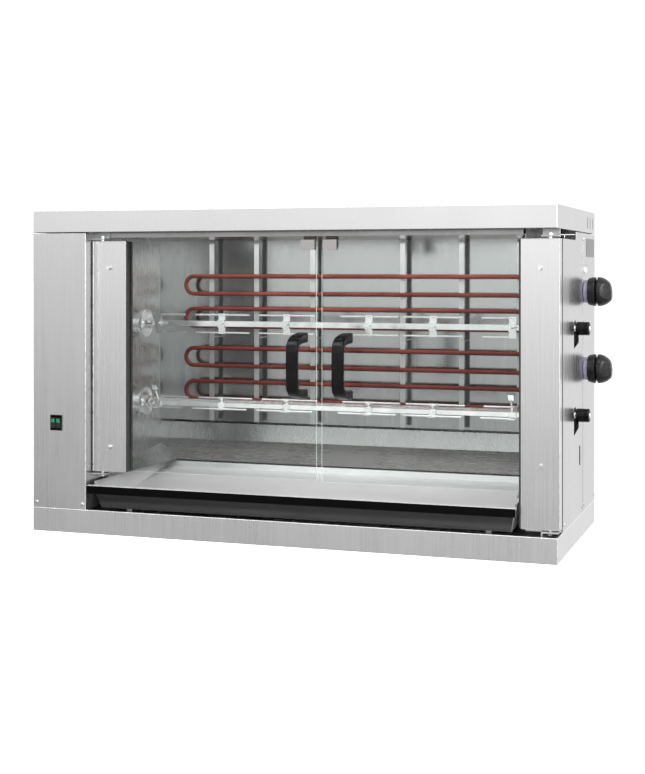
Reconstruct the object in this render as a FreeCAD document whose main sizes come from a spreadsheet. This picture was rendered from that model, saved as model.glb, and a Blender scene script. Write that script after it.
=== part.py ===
import FreeCAD, Part
import os
import Sketcher

# Two-spit electric rotisserie oven with a pair of glass doors.
#
# Frame: origin at the centre of the base's underside, +X to the user's right, +Y to the back,
# +Z up, millimetres. Every size that drives the model is a named cell of the sheet "dims"; each
# sub-part is bound to those cells by expressions, and is written to parts/NODE.step, where NODE
# is its label.

doc = FreeCAD.newDocument("rotisserie_oven")
sheet = doc.addObject("Spreadsheet::Sheet", "dims")

DRIVING = {
    # casing
    "width": 1150, "depth": 500, "height": 698, "metal": 1.5,
    "base_high": 50, "base_hem": 5, "base_plate_up": 42,
    "cover_high": 47, "cover_gap": 2, "shell_return": 18,
    "cabinet_wide": 128, "compartment_wide": 75, "wall_top": 690,
    "side_seam": 77, "side_front_back": 65, "seam_gap": 5, "side_step_y": -18, "side_step_z": 632,
    "latch_front": 24, "latch_back": 40, "latch_low": 156, "latch_top": 197,
    "cover_vent_back": 24, "cover_vent_pitch": 38, "cover_vent_wide": 8,
    "cover_vent_low": 9, "cover_vent_high": 14, "back_vent_left": -435, "back_vent_pitch": 90,
    "back_vent_wide": 60, "back_vent_low": 600, "back_vent_high": 8,
    # oven cavity
    "cavity_back": 194, "cavity_top": 640, "reflector_low": 203, "deflector_top": 196,
    "header_front": 45, "corner_strip_wide": 72,
    "slope_top_y": 186, "slope_top_z": 157, "slope_foot_y": 136, "slope_foot_z": 113,
    "side_slope_front": 117, "side_slope_in": 17, "side_slope_back_in": 51,
    # drip tray
    "tray_lip_top": 104, "tray_lip_thick": 3, "tray_lip_deep": 8, "tray_lip_left": 2.5,
    "tray_lip_right": 7, "tray_lip_high": 18, "tray_top": 110, "tray_low": 52, "tray_front": 8,
    "tray_rake": 24, "tray_trough": 45, "tray_floor_back_y": 130, "tray_floor_back_z": 96,
    "tray_end_top": 9, "tray_end_low": 22, "runner_left": -380, "runner_right": 420, "runner_wide": 12,
    # doors
    "door_front": 28, "door_deep": 26, "door_top": 632, "door_play": 3,
    "left_stile_wide": 80, "right_stile_wide": 77, "left_stile_low": 131, "right_stile_low": 60,
    "pane_thick": 5, "pane_low": 133, "pane_seat": 12, "meeting_x": 74, "meeting_gap": 12,
    "gasket_proud": 4, "pivot_in": 20, "pivot_back": 8, "pin_radius": 4, "pin_play": 0.05,
    "pin_long": 11, "bracket_thick": 3, "bracket_wide": 36, "bracket_deep": 30,
    "stud_radius": 4, "stud_long": 8, "stud_up": 58,
    # door handles and catches
    "handle_wide": 24, "handle_high": 138, "handle_centre": 371, "handle_proud": 69,
    "handle_bar": 14, "handle_arm": 21, "handle_front": 90, "handle_open": 82,
    "handle_shoulder": 20, "handle_slope": 10, "left_handle_x": 38, "right_handle_x": 136,
    "catch_wide": 30, "catch_high": 19, "catch_thick": 2, "catch_in": 3,
    # spits and drives
    "spit_y": -30, "upper_spit_z": 448, "lower_spit_z": 268, "spit_side": 12, "spit_left": -434,
    "journal_start": 458, "journal_radius": 6, "journal_play": 0.05, "sleeve_radius": 10,
    "sleeve_start": -398, "sleeve_end": -388, "grip_start": 578, "grip_long": 27, "grip_radius": 14,
    "tine_off": 20, "tine_radius": 2, "tine_long": 66, "hub_long": 16, "hub_side": 17,
    "fork_plate_high": 46, "fork_plate_thick": 3, "screw_radius": 2.5, "thumb_wide": 12,
    "thumb_thick": 3, "short_screw": 11, "short_wing": 7, "long_screw": 40, "long_wing": 15,
    "upper_turn": 0, "lower_turn": -58,
    "flange_radius": 34, "flange_thick": 7, "drum_radius": 25, "ring_radius": 31.5, "ring_start": -415,
    "ring_end": -407, "nose_radius": 13, "nose_end": -400, "socket_side": 12.6, "socket_deep": 37,
    "drive_shaft_radius": 10, "motor_shaft_radius": 6, "shaft_play": 0.05,
    "gearbox_long": 56, "gearbox_side": 84, "motor_long": 60, "motor_radius": 24,
    "slot_round": 17, "slot_back": 51, "slot_side_drop": 31, "slot_drop": 41,
    # heating elements
    "element_y": 160, "element_radius": 5, "element_pitch": 42, "element_left": -374,
    "element_end": 522, "strap_wide": 12, "strap_thick": 2, "strap_foot_z": 406, "strap_foot_high": 3,
    "insulator_long": 8, "insulator_lip": 2, "tab_long": 13, "tab_wide": 6, "tab_thick": 1,
    # controls
    "knob_y": 94, "upper_knob_z": 523, "lower_knob_z": 357, "knob_radius": 31.5, "knob_long": 58,
    "knob_lift": 1, "collar_radius": 24.5, "collar_long": 8.5, "skirt_end": 24, "groove_end": 29,
    "spindle_radius": 4, "spindle_long": 16, "switch_side": 30, "switch_deep": 36,
    "lamp_z": 569, "lamp_radius": 7, "lamp_proud": 6,
    "rocker_x": -518, "rocker_z": 237, "bezel_wide": 28, "bezel_high": 34, "bezel_proud": 2.5,
    "rocker_wide": 11, "rocker_high": 24, "rocker_half_gap": 6.2, "rocker_play": 0.5,
    "rocker_swing": 3, "rocker_axis_in": 8, "rocker_axle": 3, "rocker_raise": 3, "rocker_flush": 0.4,
    "bezel_wall": 1.2, "bezel_rim": 1.5, "bezel_deep": 24,
    "plate_wide": 110, "plate_high": 40, "plate_thick": 0.8, "plate_z": 618, "plate_y": 180,
    "gland_x": 530, "gland_z": 110, "gland_bore": 5.5, "gland_body": 9.5, "gland_nut": 14,
    "gland_hole": 10, "gland_in": 12, "gland_nut_long": 8, "gland_dome_long": 8,
    "screw_head": 4, "head_high": 1.6,
}
for row, (alias, number) in enumerate(DRIVING.items(), start=1):
    sheet.set("A%d" % row, alias)
    sheet.set("B%d" % row, str(number))
    sheet.setAlias("B%d" % row, alias)
doc.recompute()

# Planes that many sub-parts share, as expressions of the sheet.
LEFT, RIGHT = "-dims.width / 2", "dims.width / 2"
FRONT, BACK = "-dims.depth / 2", "dims.depth / 2"
SHELL_TOP = "(dims.height - dims.cover_high - dims.cover_gap)"
CAVITY_LEFT = "(-dims.width / 2 + dims.cabinet_wide)"
CAVITY_RIGHT = "(dims.width / 2 - dims.compartment_wide)"
DOOR_FRONT = "(-dims.depth / 2 + dims.door_front)"
DOOR_BACK = f"({DOOR_FRONT} + dims.door_deep)"
PANE_FRONT = f"({DOOR_FRONT} + dims.door_deep / 2 - dims.pane_thick / 2)"
PANE_BACK = f"({PANE_FRONT} + dims.pane_thick)"
HEADER_Y = "(-dims.depth / 2 + dims.header_front)"
SIDE_FRONT = "(-dims.depth / 2 + dims.side_front_back)"
PIVOT_Y = f"({DOOR_FRONT} + dims.pivot_back)"
PANE_TOP = "(dims.door_top - dims.metal - 0.1)"
BARREL_FACE = (("dims.rocker_x - dims.bezel_wide / 2 + dims.bezel_wall",
                "dims.rocker_x + dims.bezel_wide / 2 - dims.bezel_wall"),
               ("dims.rocker_z - dims.bezel_high / 2 + dims.bezel_rim",
                "dims.rocker_z + dims.bezel_high / 2 - dims.bezel_rim"))

SPITS = {"upper": "dims.upper_spit_z", "lower": "dims.lower_spit_z"}
KNOBS = {"upper": "dims.upper_knob_z", "lower": "dims.lower_knob_z"}
TURN = {"upper": "dims.upper_turn", "lower": "dims.lower_turn"}    # how each spit stands at rest
ELEMENT_CENTRES = (533, 455, 360, 280)      # height of each hairpin's middle
STRAP_PLACES = (-330, -214, -72, 148, 287, 420)     # middle of each element strap
FORK_PLACES = (-220, -64, 127, 271)         # middle of each two-sided fork along the bar
END_FORK_PLACES = (-377, 444)               # middle of each one-sided fork
FRONT_SCREWS = ((-566, 62), (-455, 62))                             # X, Z
SIDE_SCREWS = ((90, 636), (90, 64), (238, 64), (60, 64), (-170, 64), (-170, 636))       # Y, Z
LEFT_SCREWS = ((-230, 64), (230, 64), (-230, 636), (230, 636))      # Y, Z
BACK_SCREWS = ((-560, 64), (560, 64), (-560, 636), (560, 636), (0, 64), (0, 636))       # X, Z
STRIP_SCREW = (-30, 612)                    # Y from the cavity's back, Z
FLANGE_SCREWS = ((-24, 16), (24, 16), (0, -29))     # Y, Z from the spit's axis
CUT = 5                                     # how far a cutting tool runs past a sheet

nodes = []


# ---------------------------------------------------------------- helpers

def number(expression):
    """Value of an expression of the sheet, in millimetres."""
    return float(sheet.evalExpression(str(expression).replace("dims.", "")))


def bind(thing, **bound):
    """Bind properties to expressions; x, y and z stand for the placement's base."""
    for name, expression in bound.items():
        target = "Placement.Base." + name if name in ("x", "y", "z") else name
        thing.setExpression(target, str(expression))
    return thing


def box(name, xs, ys, zs):
    """A block between two planes along each axis."""
    block = doc.addObject("Part::Box", name)
    (x0, x1), (y0, y1), (z0, z1) = xs, ys, zs
    return bind(block, x=x0, y=y0, z=z0, Length=f"({x1}) - ({x0})",
                Width=f"({y1}) - ({y0})", Height=f"({z1}) - ({z0})")


TURNS = {"X": FreeCAD.Rotation(FreeCAD.Vector(0, 1, 0), 90),
         "Y": FreeCAD.Rotation(FreeCAD.Vector(1, 0, 0), -90),
         "Z": FreeCAD.Rotation()}


def rod(name, axis, start, length, radius):
    """A cylinder that runs from start along an axis."""
    bar = doc.addObject("Part::Cylinder", name)
    bar.Placement = FreeCAD.Placement(FreeCAD.Vector(), TURNS[axis])
    return bind(bar, x=start[0], y=start[1], z=start[2], Height=length, Radius=radius)


def cone(name, axis, start, length, radius_1, radius_2):
    """A cone frustum that runs from start along an axis."""
    frustum = doc.addObject("Part::Cone", name)
    frustum.Placement = FreeCAD.Placement(FreeCAD.Vector(), TURNS[axis])
    return bind(frustum, x=start[0], y=start[1], z=start[2], Height=length,
                Radius1=radius_1, Radius2=radius_2)


def fuse(name, pieces):
    """One solid out of several that touch or overlap."""
    whole = doc.addObject("Part::MultiFuse", name)
    whole.Shapes = pieces
    whole.Refine = True
    return whole


def cut(name, base, tools):
    """A base with one or more tools taken out of it."""
    cutter = tools[0] if len(tools) == 1 else fuse(name + "_cutter", tools)
    left_over = doc.addObject("Part::Cut", name)
    left_over.Base, left_over.Tool = base, cutter
    left_over.Refine = True
    return left_over


def group(name, pieces):
    """Several separate solids that share one node."""
    whole = doc.addObject("Part::Compound", name)
    whole.Links = pieces
    return whole


def turned(name, thing, up, angle):
    """A thing turned by an angle about the axis of the spit at that height."""
    holder = group(name, [thing])
    holder.Placement = FreeCAD.Placement(FreeCAD.Vector(), FreeCAD.Rotation(FreeCAD.Vector(1, 0, 0), 1))
    holder.setExpression("Placement.Rotation.Angle", angle)
    across = f"dims.spit_y * cos({angle}) - {up} * sin({angle})"
    rise = f"dims.spit_y * sin({angle}) + {up} * cos({angle})"
    return bind(holder, y=f"dims.spit_y - ({across})", z=f"{up} - ({rise})")


def keep(thing, label):
    """Make an object a sub-part of the oven under its own label."""
    thing.Label = label
    nodes.append(thing)
    return thing


def origin_plane(body, role):
    """One of a body's own coordinate planes."""
    for feature in body.Origin.OriginFeatures:
        if feature.Role == role:
            return feature
    raise ValueError(role)


def outline(body, name, plane, points, offset="0"):
    """A closed polygon sketch whose corners are bound to expressions, on one of the body's planes."""
    sketch = body.newObject("Sketcher::SketchObject", name)
    sketch.AttachmentSupport = (origin_plane(body, plane), [""])
    sketch.MapMode = "FlatFace"
    sketch.setExpression("AttachmentOffset.Base.z", offset)
    spots = [FreeCAD.Vector(number(a), number(b), 0) for a, b in points]
    count = len(points)
    for index in range(count):
        sketch.addGeometry(Part.LineSegment(spots[index], spots[(index + 1) % count]), False)
    for index in range(count):
        sketch.addConstraint(Sketcher.Constraint("Coincident", index, 2, (index + 1) % count, 1))
    for index, (across, up) in enumerate(points):
        for kind, expression, value in (("DistanceX", across, spots[index].x),
                                        ("DistanceY", up, spots[index].y)):
            place = sketch.addConstraint(Sketcher.Constraint(kind, -1, 1, index, 1, value))
            sketch.setExpression("Constraints[%d]" % place, str(expression))
    return sketch


def pad(name, plane, points, length, offset="0"):
    """A body made of one padded polygon. YZ pads run to +X; XZ pads run to -Y; XY pads run to +Z."""
    body = doc.addObject("PartDesign::Body", name)
    feature = body.newObject("PartDesign::Pad", name + "_pad")
    feature.Profile = outline(body, name + "_outline", plane, points, offset)
    feature.setExpression("Length", length)
    body.Tip = feature
    return body


def revolve(name, points):
    """A body turned about the X axis from a closed outline of (along X, radius) corners."""
    body = doc.addObject("PartDesign::Body", name)
    sketch = outline(body, name + "_outline", "XZ_Plane", points)
    feature = body.newObject("PartDesign::Revolution", name + "_turn")
    feature.Profile = sketch
    feature.ReferenceAxis = (sketch, ["H_Axis"])
    feature.Angle = 360
    body.Tip = feature
    return body


# ---------------------------------------------------------------- base

def make_base():
    """Open-topped folded pan with a hemmed rim, and the floor plate just below the rim."""
    outer = box("base_outer", (LEFT, RIGHT), (FRONT, BACK), ("0", "dims.base_high"))
    inside = box("base_inside", (f"{LEFT} + dims.metal", f"{RIGHT} - dims.metal"),
                 (f"{FRONT} + dims.metal", f"{BACK} - dims.metal"),
                 ("dims.metal", "dims.base_high - dims.metal"))
    mouth = box("base_mouth", (f"{LEFT} + dims.base_hem", f"{RIGHT} - dims.base_hem"),
                (f"{FRONT} + dims.base_hem", f"{BACK} - dims.base_hem"),
                ("dims.base_high / 2", "dims.base_high + 1"))
    keep(cut("base_frame_cut", outer, [inside, mouth]), "base_frame")
    keep(box("base_plate_box", (f"{LEFT} + dims.metal", f"{RIGHT} - dims.metal"),
             (f"{FRONT} + dims.metal", f"{BACK} - dims.metal"),
             ("dims.base_plate_up", "dims.base_plate_up + dims.metal")), "base_plate")


# ---------------------------------------------------------------- casing

def make_top_cover():
    """Deep lid with its skirt turned down all round and three vent slots at the back of each end."""
    outer = box("cover_outer", (LEFT, RIGHT), (FRONT, BACK),
                ("dims.height - dims.cover_high", "dims.height"))
    inside = box("cover_inside", (f"{LEFT} + dims.metal", f"{RIGHT} - dims.metal"),
                 (f"{FRONT} + dims.metal", f"{BACK} - dims.metal"),
                 ("dims.height - dims.cover_high - 1", "dims.height - dims.metal"))
    slots = []
    for index in range(3):
        rear = f"({BACK} - dims.cover_vent_back - {index} * dims.cover_vent_pitch)"
        slots.append(box("cover_vent_%d" % index, (f"{LEFT} - 1", f"{RIGHT} + 1"),
                         (f"{rear} - dims.cover_vent_wide", rear),
                         ("dims.height - dims.cover_high + dims.cover_vent_low",
                          "dims.height - dims.cover_vent_high")))
    keep(cut("cover_cut", outer, [inside] + slots), "top_cover")


def make_left_cabinet():
    """C-shaped shell round the motors, and the wall between them and the oven cavity."""
    high = ("dims.base_high", SHELL_TOP)
    outer = box("cabinet_outer", (LEFT, CAVITY_LEFT), (FRONT, f"{BACK} - dims.metal"), high)
    inside = box("cabinet_inside", (f"{LEFT} + dims.metal", f"{CAVITY_LEFT} - dims.metal"),
                 (f"{FRONT} + dims.metal", f"{BACK} - 2 * dims.metal"),
                 ("dims.base_high - 1", f"{SHELL_TOP} + 1"))
    open_side = box("cabinet_open_side", (f"{CAVITY_LEFT} - dims.metal - 1", f"{CAVITY_LEFT} + 1"),
                    (f"{FRONT} + dims.shell_return", BACK),
                    ("dims.base_high - 1", f"{SHELL_TOP} + 1"))
    window = box("rocker_window", *BARREL_FACE[:1], (f"{FRONT} - 1", f"{FRONT} + dims.metal + 1"),
                 *BARREL_FACE[1:])
    keep(cut("cabinet_cut", outer, [inside, open_side, window]), "left_cabinet_shell")
    wall = box("left_wall_plate", (f"{CAVITY_LEFT} - dims.metal", CAVITY_LEFT),
               (f"{FRONT} + dims.shell_return", "dims.cavity_back"), ("dims.base_high", "dims.wall_top"))
    holes = [rod(f"left_wall_hole_{which}", "X", (f"{CAVITY_LEFT} - 5", "dims.spit_y", up), "10",
                 "dims.drive_shaft_radius + 3") for which, up in SPITS.items()]
    keep(cut("left_wall_cut", wall, holes), "left_inner_wall")


def spit_slot(which, up):
    """Opening in the side panel for one spit: round at the top, a wide V at the bottom."""
    front, back = "(dims.spit_y - dims.slot_round)", "(dims.spit_y + dims.slot_back)"
    points = [(front, up), (back, up), (back, f"{up} - dims.slot_side_drop"),
              (f"{front} + 8", f"{up} - dims.slot_drop"), (f"{front} + 3", f"{up} - dims.slot_drop"),
              (front, f"{up} - dims.slot_drop + 5")]
    lower = pad(f"side_slot_{which}", "YZ_Plane", points, "10", f"{RIGHT} - 5")
    upper = rod(f"side_slot_round_{which}", "X", (f"{RIGHT} - 5", "dims.spit_y", up), "10",
                "dims.slot_round")
    return [lower, upper]


def make_right_side():
    """Front side panel with the spit slots, control cover behind it, and the cavity's right wall."""
    high = ("dims.base_high", SHELL_TOP)
    side = box("side_sheet", (f"{RIGHT} - dims.metal", RIGHT),
               (SIDE_FRONT, "dims.side_seam - dims.seam_gap"), high)
    turned = box("side_front_sheet", (f"{CAVITY_RIGHT} + dims.metal", RIGHT),
                 (SIDE_FRONT, f"{SIDE_FRONT} + dims.metal"), high)
    step = box("side_step", (CAVITY_RIGHT, f"{RIGHT} + 1"), (f"{SIDE_FRONT} - 1", "dims.side_step_y"),
               ("dims.side_step_z", f"{SHELL_TOP} + 1"))
    latch_slot = box("side_latch_slot", (f"{RIGHT} - {CUT}", f"{RIGHT} + {CUT}"),
                     ("dims.latch_front", "dims.latch_back"), ("dims.latch_low", "dims.latch_top"))
    slots = [tool for which, up in SPITS.items() for tool in spit_slot(which, up)]
    keep(cut("side_cut", fuse("side_sheets", [side, turned]), slots + [latch_slot, step]),
         "right_side_panel")

    cover = box("control_sheet", (f"{RIGHT} - dims.metal", RIGHT),
                ("dims.side_seam", f"{BACK} - dims.metal"), high)
    turned_in = box("control_return", (f"{RIGHT} - dims.shell_return", RIGHT),
                    (f"{BACK} - 2 * dims.metal", f"{BACK} - dims.metal"), high)
    holes = [rod(f"control_hole_{which}", "X", (f"{RIGHT} - 5", "dims.knob_y", up), "10", "9")
             for which, up in KNOBS.items()]
    holes.append(rod("control_hole_lamp", "X", (f"{RIGHT} - 5", "dims.knob_y", "dims.lamp_z"), "10", "5"))
    keep(cut("control_cut", fuse("control_sheets", [cover, turned_in]), holes), "right_control_cover")

    wall = box("right_wall_plate", (CAVITY_RIGHT, f"{CAVITY_RIGHT} + dims.metal"),
               (SIDE_FRONT, "dims.cavity_back"), ("dims.base_high", "dims.wall_top"))
    holes = [rod(f"right_wall_hole_{which}", "X", (f"{CAVITY_RIGHT} - 5", "dims.spit_y", up), "12", "14")
             for which, up in SPITS.items()]
    for index, centre in enumerate(ELEMENT_CENTRES):
        for side_name, sign in (("top", "+"), ("bottom", "-")):
            holes.append(rod(f"element_hole_{index}_{side_name}", "X",
                             (f"{CAVITY_RIGHT} - 5", "dims.element_y",
                              f"{centre} {sign} dims.element_pitch / 2"), "12", "dims.element_radius + 0.8"))
    keep(cut("right_wall_cut", wall, holes), "right_inner_wall")


def make_back():
    """Outer back sheet with vent slots and the hole for the cable gland."""
    sheet_metal = box("back_sheet", (LEFT, RIGHT), (f"{BACK} - dims.metal", BACK),
                      ("dims.base_high", SHELL_TOP))
    tools = []
    for index in range(11):
        near = f"(dims.back_vent_left + {index} * dims.back_vent_pitch)"
        tools.append(box("back_vent_%d" % index, (near, f"{near} + dims.back_vent_wide"),
                         (f"{BACK} - {CUT}", f"{BACK} + {CUT}"),
                         ("dims.back_vent_low", "dims.back_vent_low + dims.back_vent_high")))
    tools.append(rod("gland_hole", "Y", ("dims.gland_x", f"{BACK} - {CUT}", "dims.gland_z"),
                     str(2 * CUT), "dims.gland_hole"))
    keep(cut("back_cut", sheet_metal, tools), "rear_panel")


# ---------------------------------------------------------------- cavity lining

def make_cavity():
    """Reflector, ceiling, corner strip and the sloping sheets that lead the fat into the tray."""
    across = (CAVITY_LEFT, CAVITY_RIGHT)
    keep(box("reflector_box", across, ("dims.cavity_back", "dims.cavity_back + dims.metal"),
             ("dims.reflector_low", "dims.cavity_top")), "rear_reflector")
    ceiling = box("ceiling_sheet", across, (HEADER_Y, "dims.cavity_back + dims.metal"),
                  ("dims.cavity_top", "dims.cavity_top + dims.metal"))
    header = box("header_sheet", across, (HEADER_Y, f"{HEADER_Y} + dims.metal"),
                 ("dims.cavity_top", "dims.wall_top"))
    keep(fuse("ceiling_fused", [ceiling, header]), "cavity_ceiling")
    strip_y = ("dims.cavity_back - dims.corner_strip_wide", "dims.cavity_back")
    strip_z = ("dims.deflector_top + dims.metal", "dims.cavity_top")
    keep(box("corner_strip_box", (CAVITY_LEFT, f"{CAVITY_LEFT} + dims.metal"), strip_y, strip_z),
         "corner_strip")

    back = "(dims.cavity_back + dims.metal)"
    profile = [(back, "dims.deflector_top + dims.metal"), (back, "dims.deflector_top"),
               ("dims.slope_top_y + 6 + dims.metal", "dims.deflector_top"),
               ("dims.slope_top_y + dims.metal", "dims.slope_top_z"),
               ("dims.slope_foot_y + dims.metal", "dims.slope_foot_z - dims.metal / 2"),
               ("dims.slope_foot_y - dims.metal / 2", "dims.slope_foot_z + dims.metal / 2"),
               ("dims.slope_top_y - dims.metal / 2", "dims.slope_top_z + dims.metal / 2"),
               ("dims.slope_top_y + 6", "dims.deflector_top + dims.metal")]
    keep(pad("rear_deflector_body", "YZ_Plane", profile, f"{CAVITY_RIGHT} - {CAVITY_LEFT}",
             CAVITY_LEFT), "rear_deflector")
    keep(group("side_deflectors_group", [side_deflector("left", CAVITY_LEFT, 1),
                                         side_deflector("right", CAVITY_RIGHT, -1)]), "side_deflectors")


def side_deflector(which, wall, inward):
    """Sheet that falls from a side wall to the tray's edge, wider and steeper towards the back."""
    low = "dims.slope_foot_z"
    sections = (("front", "-180", "dims.side_slope_front", "dims.side_slope_in"),
                ("back", "dims.slope_foot_y - 3", "dims.slope_top_z - 6", "dims.side_slope_back_in - 10"))
    body = doc.addObject("PartDesign::Body", f"side_deflector_{which}")
    sketches = []
    for name, along, top, reach in sections:
        points = [(wall, top), (f"{wall} + {inward} * {reach}", low),
                  (f"{wall} + {inward} * ({reach} + 1.5)", f"{low} + dims.metal"),
                  (wall, f"{top} + dims.metal * 1.4")]
        sketches.append(outline(body, f"deflector_{which}_{name}", "XZ_Plane", points, f"-({along})"))
    loft = body.newObject("PartDesign::AdditiveLoft", f"deflector_loft_{which}")
    loft.Profile, loft.Sections, loft.Ruled = sketches[0], sketches[1:], True
    body.Tip = loft
    return body


# ---------------------------------------------------------------- drip tray

def tray_block(name, skin):
    """Outer form of the tray shrunk by a skin: a wedge that is deepest at the front trough."""
    top = "dims.tray_top" if skin == "0" else "dims.tray_top + 5"
    front = f"({FRONT} + dims.tray_front + {skin})"
    wedge = pad(name + "_wedge", "YZ_Plane", [
        (front, top), (f"{front} + dims.tray_rake", f"dims.tray_low + {skin}"),
        (f"{FRONT} + dims.tray_trough", f"dims.tray_low + {skin}"),
        (f"dims.tray_floor_back_y - {skin}", f"dims.tray_floor_back_z + {skin}"),
        (f"dims.tray_floor_back_y + 6 - {skin}", top)], "dims.width", LEFT)
    reach = "(dims.tray_end_low - dims.tray_end_top)"
    rise = "(dims.tray_top - dims.tray_low)"
    ends = []
    for height in ("dims.tray_low", f"({top})"):
        slide = f"{reach} * (dims.tray_top - {height}) / {rise}"
        ends.append((f"({CAVITY_LEFT} + dims.tray_end_top + {slide} + {skin})",
                     f"({CAVITY_RIGHT} - dims.tray_end_top - {slide} - {skin})", height))
    low, high = ends
    slab = pad(name + "_ends", "XZ_Plane", [(low[0], low[2]), (low[1], low[2]),
                                            (high[1], high[2]), (high[0], high[2])],
               "dims.depth", FRONT)
    whole = doc.addObject("Part::MultiCommon", name)
    whole.Shapes = [wedge, slab]
    return whole


def make_tray():
    """Fat tray: sloping floor, raked ends, a front trough, and a lip folded forward and down."""
    outer = tray_block("tray_outer", "0")
    inner = tray_block("tray_inner", "dims.metal")
    over_lip = box("tray_over_lip", (LEFT, RIGHT), (FRONT, f"{FRONT} + dims.tray_front + 12"),
                   ("dims.tray_lip_top", "dims.tray_top + 20"))
    pan = cut("tray_pan", outer, [inner, over_lip])
    across = (f"{CAVITY_LEFT} + dims.tray_lip_left", f"{CAVITY_RIGHT} - dims.tray_lip_right")
    lip_front = f"({FRONT} + 1)"
    lip = box("tray_lip", across, (lip_front, f"{FRONT} + dims.tray_front + dims.tray_lip_thick"),
              ("dims.tray_lip_top - dims.tray_lip_thick", "dims.tray_lip_top"))
    apron = box("tray_apron", across, (lip_front, f"{lip_front} + dims.metal"),
                ("dims.tray_lip_top - dims.tray_lip_high", "dims.tray_lip_top"))
    keep(fuse("tray_fused", [pan, lip, apron]), "drip_tray")
    runners = []
    for index, place in enumerate(("dims.runner_left", "dims.runner_right")):
        runners.append(pad("tray_runner_%d" % index, "YZ_Plane", [
            (f"{FRONT} + dims.tray_trough + 20", "dims.base_plate_up + dims.metal"),
            ("dims.tray_floor_back_y", "dims.base_plate_up + dims.metal"),
            ("dims.tray_floor_back_y", "dims.tray_floor_back_z - 1"),
            (f"{FRONT} + dims.tray_trough + 20", "dims.tray_low + 1.5")], "dims.runner_wide", place))
    keep(group("tray_runners_group", runners), "tray_runners")


# ---------------------------------------------------------------- heating

def make_elements():
    """Four hairpin heaters, the straps that hold them and their insulated ends."""
    terminals, hairpins = [], []
    for index, centre in enumerate(ELEMENT_CENTRES):
        legs = []
        for side_name, sign in (("top", "+"), ("bottom", "-")):
            start = ("dims.element_left", "dims.element_y", f"{centre} {sign} dims.element_pitch / 2")
            legs.append(rod(f"leg_{index}_{side_name}", "X", start, "dims.element_end - dims.element_left",
                            "dims.element_radius"))
            end = ("dims.element_end", start[1], start[2])
            insulator = rod(f"insulator_{index}_{side_name}", "X", end, "dims.insulator_long",
                            "dims.element_radius + dims.insulator_lip")
            tab_start = f"({end[0]} + dims.insulator_long - 1)"
            tab = box(f"tab_{index}_{side_name}", (tab_start, f"{tab_start} + dims.tab_long"),
                      (f"{end[1]} - dims.tab_wide / 2", f"{end[1]} + dims.tab_wide / 2"),
                      (f"{end[2]} - dims.tab_thick / 2", f"{end[2]} + dims.tab_thick / 2"))
            terminals.append(fuse(f"terminal_{index}_{side_name}", [insulator, tab]))
        bend = doc.addObject("Part::Torus", f"bend_{index}")
        bend.Placement.Rotation = (FreeCAD.Rotation(FreeCAD.Vector(1, 0, 0), 90)
                                   * FreeCAD.Rotation(FreeCAD.Vector(0, 0, 1), 90))
        bend.Angle3 = 180
        bind(bend, x="dims.element_left", y="dims.element_y", z=centre,
             Radius1="dims.element_pitch / 2", Radius2="dims.element_radius")
        hairpins.append(fuse(f"hairpin_{index}", legs + [bend]))
    keep(group("upper_hairpins", hairpins[:2]), "upper_heating_elements")
    keep(group("lower_hairpins", hairpins[2:]), "lower_heating_elements")
    keep(group("terminals_group", terminals), "element_terminals")
    behind = "(dims.element_y + dims.element_radius + 0.1)"
    straps = []
    for index, place in enumerate(STRAP_PLACES):
        across = (f"{place} - dims.strap_wide / 2", f"{place} + dims.strap_wide / 2")
        stay = box(f"strap_{index}", across, (behind, f"{behind} + dims.strap_thick"),
                   ("dims.deflector_top + 10", "dims.cavity_top"))
        post = box(f"strap_foot_{index}", across, (behind, "dims.cavity_back"),
                   ("dims.strap_foot_z", "dims.strap_foot_z + dims.strap_foot_high"))
        straps.append(fuse(f"strap_whole_{index}", [stay, post]))
    keep(group("straps_group", straps), "element_straps")


# ---------------------------------------------------------------- drives and spits

def make_drive(which, up):
    """Drive coupling: shaft, drum, front ring and nose in one turned piece with a square socket."""
    start = f"({CAVITY_LEFT} + dims.flange_thick + 1)"
    neck = f"({CAVITY_LEFT} - 8)"
    spine = ("dims.spit_y", up)
    pieces = [
        rod(f"{which}_motor_shaft", "X", (f"{neck} - 34", *spine), "36", "dims.motor_shaft_radius"),
        rod(f"{which}_neck", "X", (neck, *spine), f"{start} - {neck}", "dims.drive_shaft_radius"),
        rod(f"{which}_drum", "X", (start, *spine), f"dims.ring_start - {start}", "dims.drum_radius"),
        rod(f"{which}_ring", "X", ("dims.ring_start", *spine), "dims.ring_end - dims.ring_start",
            "dims.ring_radius"),
        rod(f"{which}_nose", "X", ("dims.ring_end", *spine), "dims.nose_end - dims.ring_end",
            "dims.nose_radius"),
    ]
    half = "dims.socket_side / 2"
    socket = box(f"{which}_socket", ("dims.nose_end - dims.socket_deep", "dims.nose_end + 1"),
                 (f"dims.spit_y - {half}", f"dims.spit_y + {half}"), (f"{up} - {half}", f"{up} + {half}"))
    dish = rod(f"{which}_dish", "X", ("dims.ring_end - 3", *spine), "4", "dims.ring_radius - 4")
    nose_again = rod(f"{which}_nose_core", "X", ("dims.ring_end - 3", *spine), "5", "dims.nose_radius")
    rim_cut = cut(f"{which}_dish_ring", dish, [nose_again])
    coupling = cut(f"{which}_coupling", fuse(f"{which}_coupling_solid", pieces), [socket, rim_cut])
    keep(turned(f"{which}_coupling_turned", coupling, up, TURN[which]), f"{which}_drive_coupling")


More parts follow.
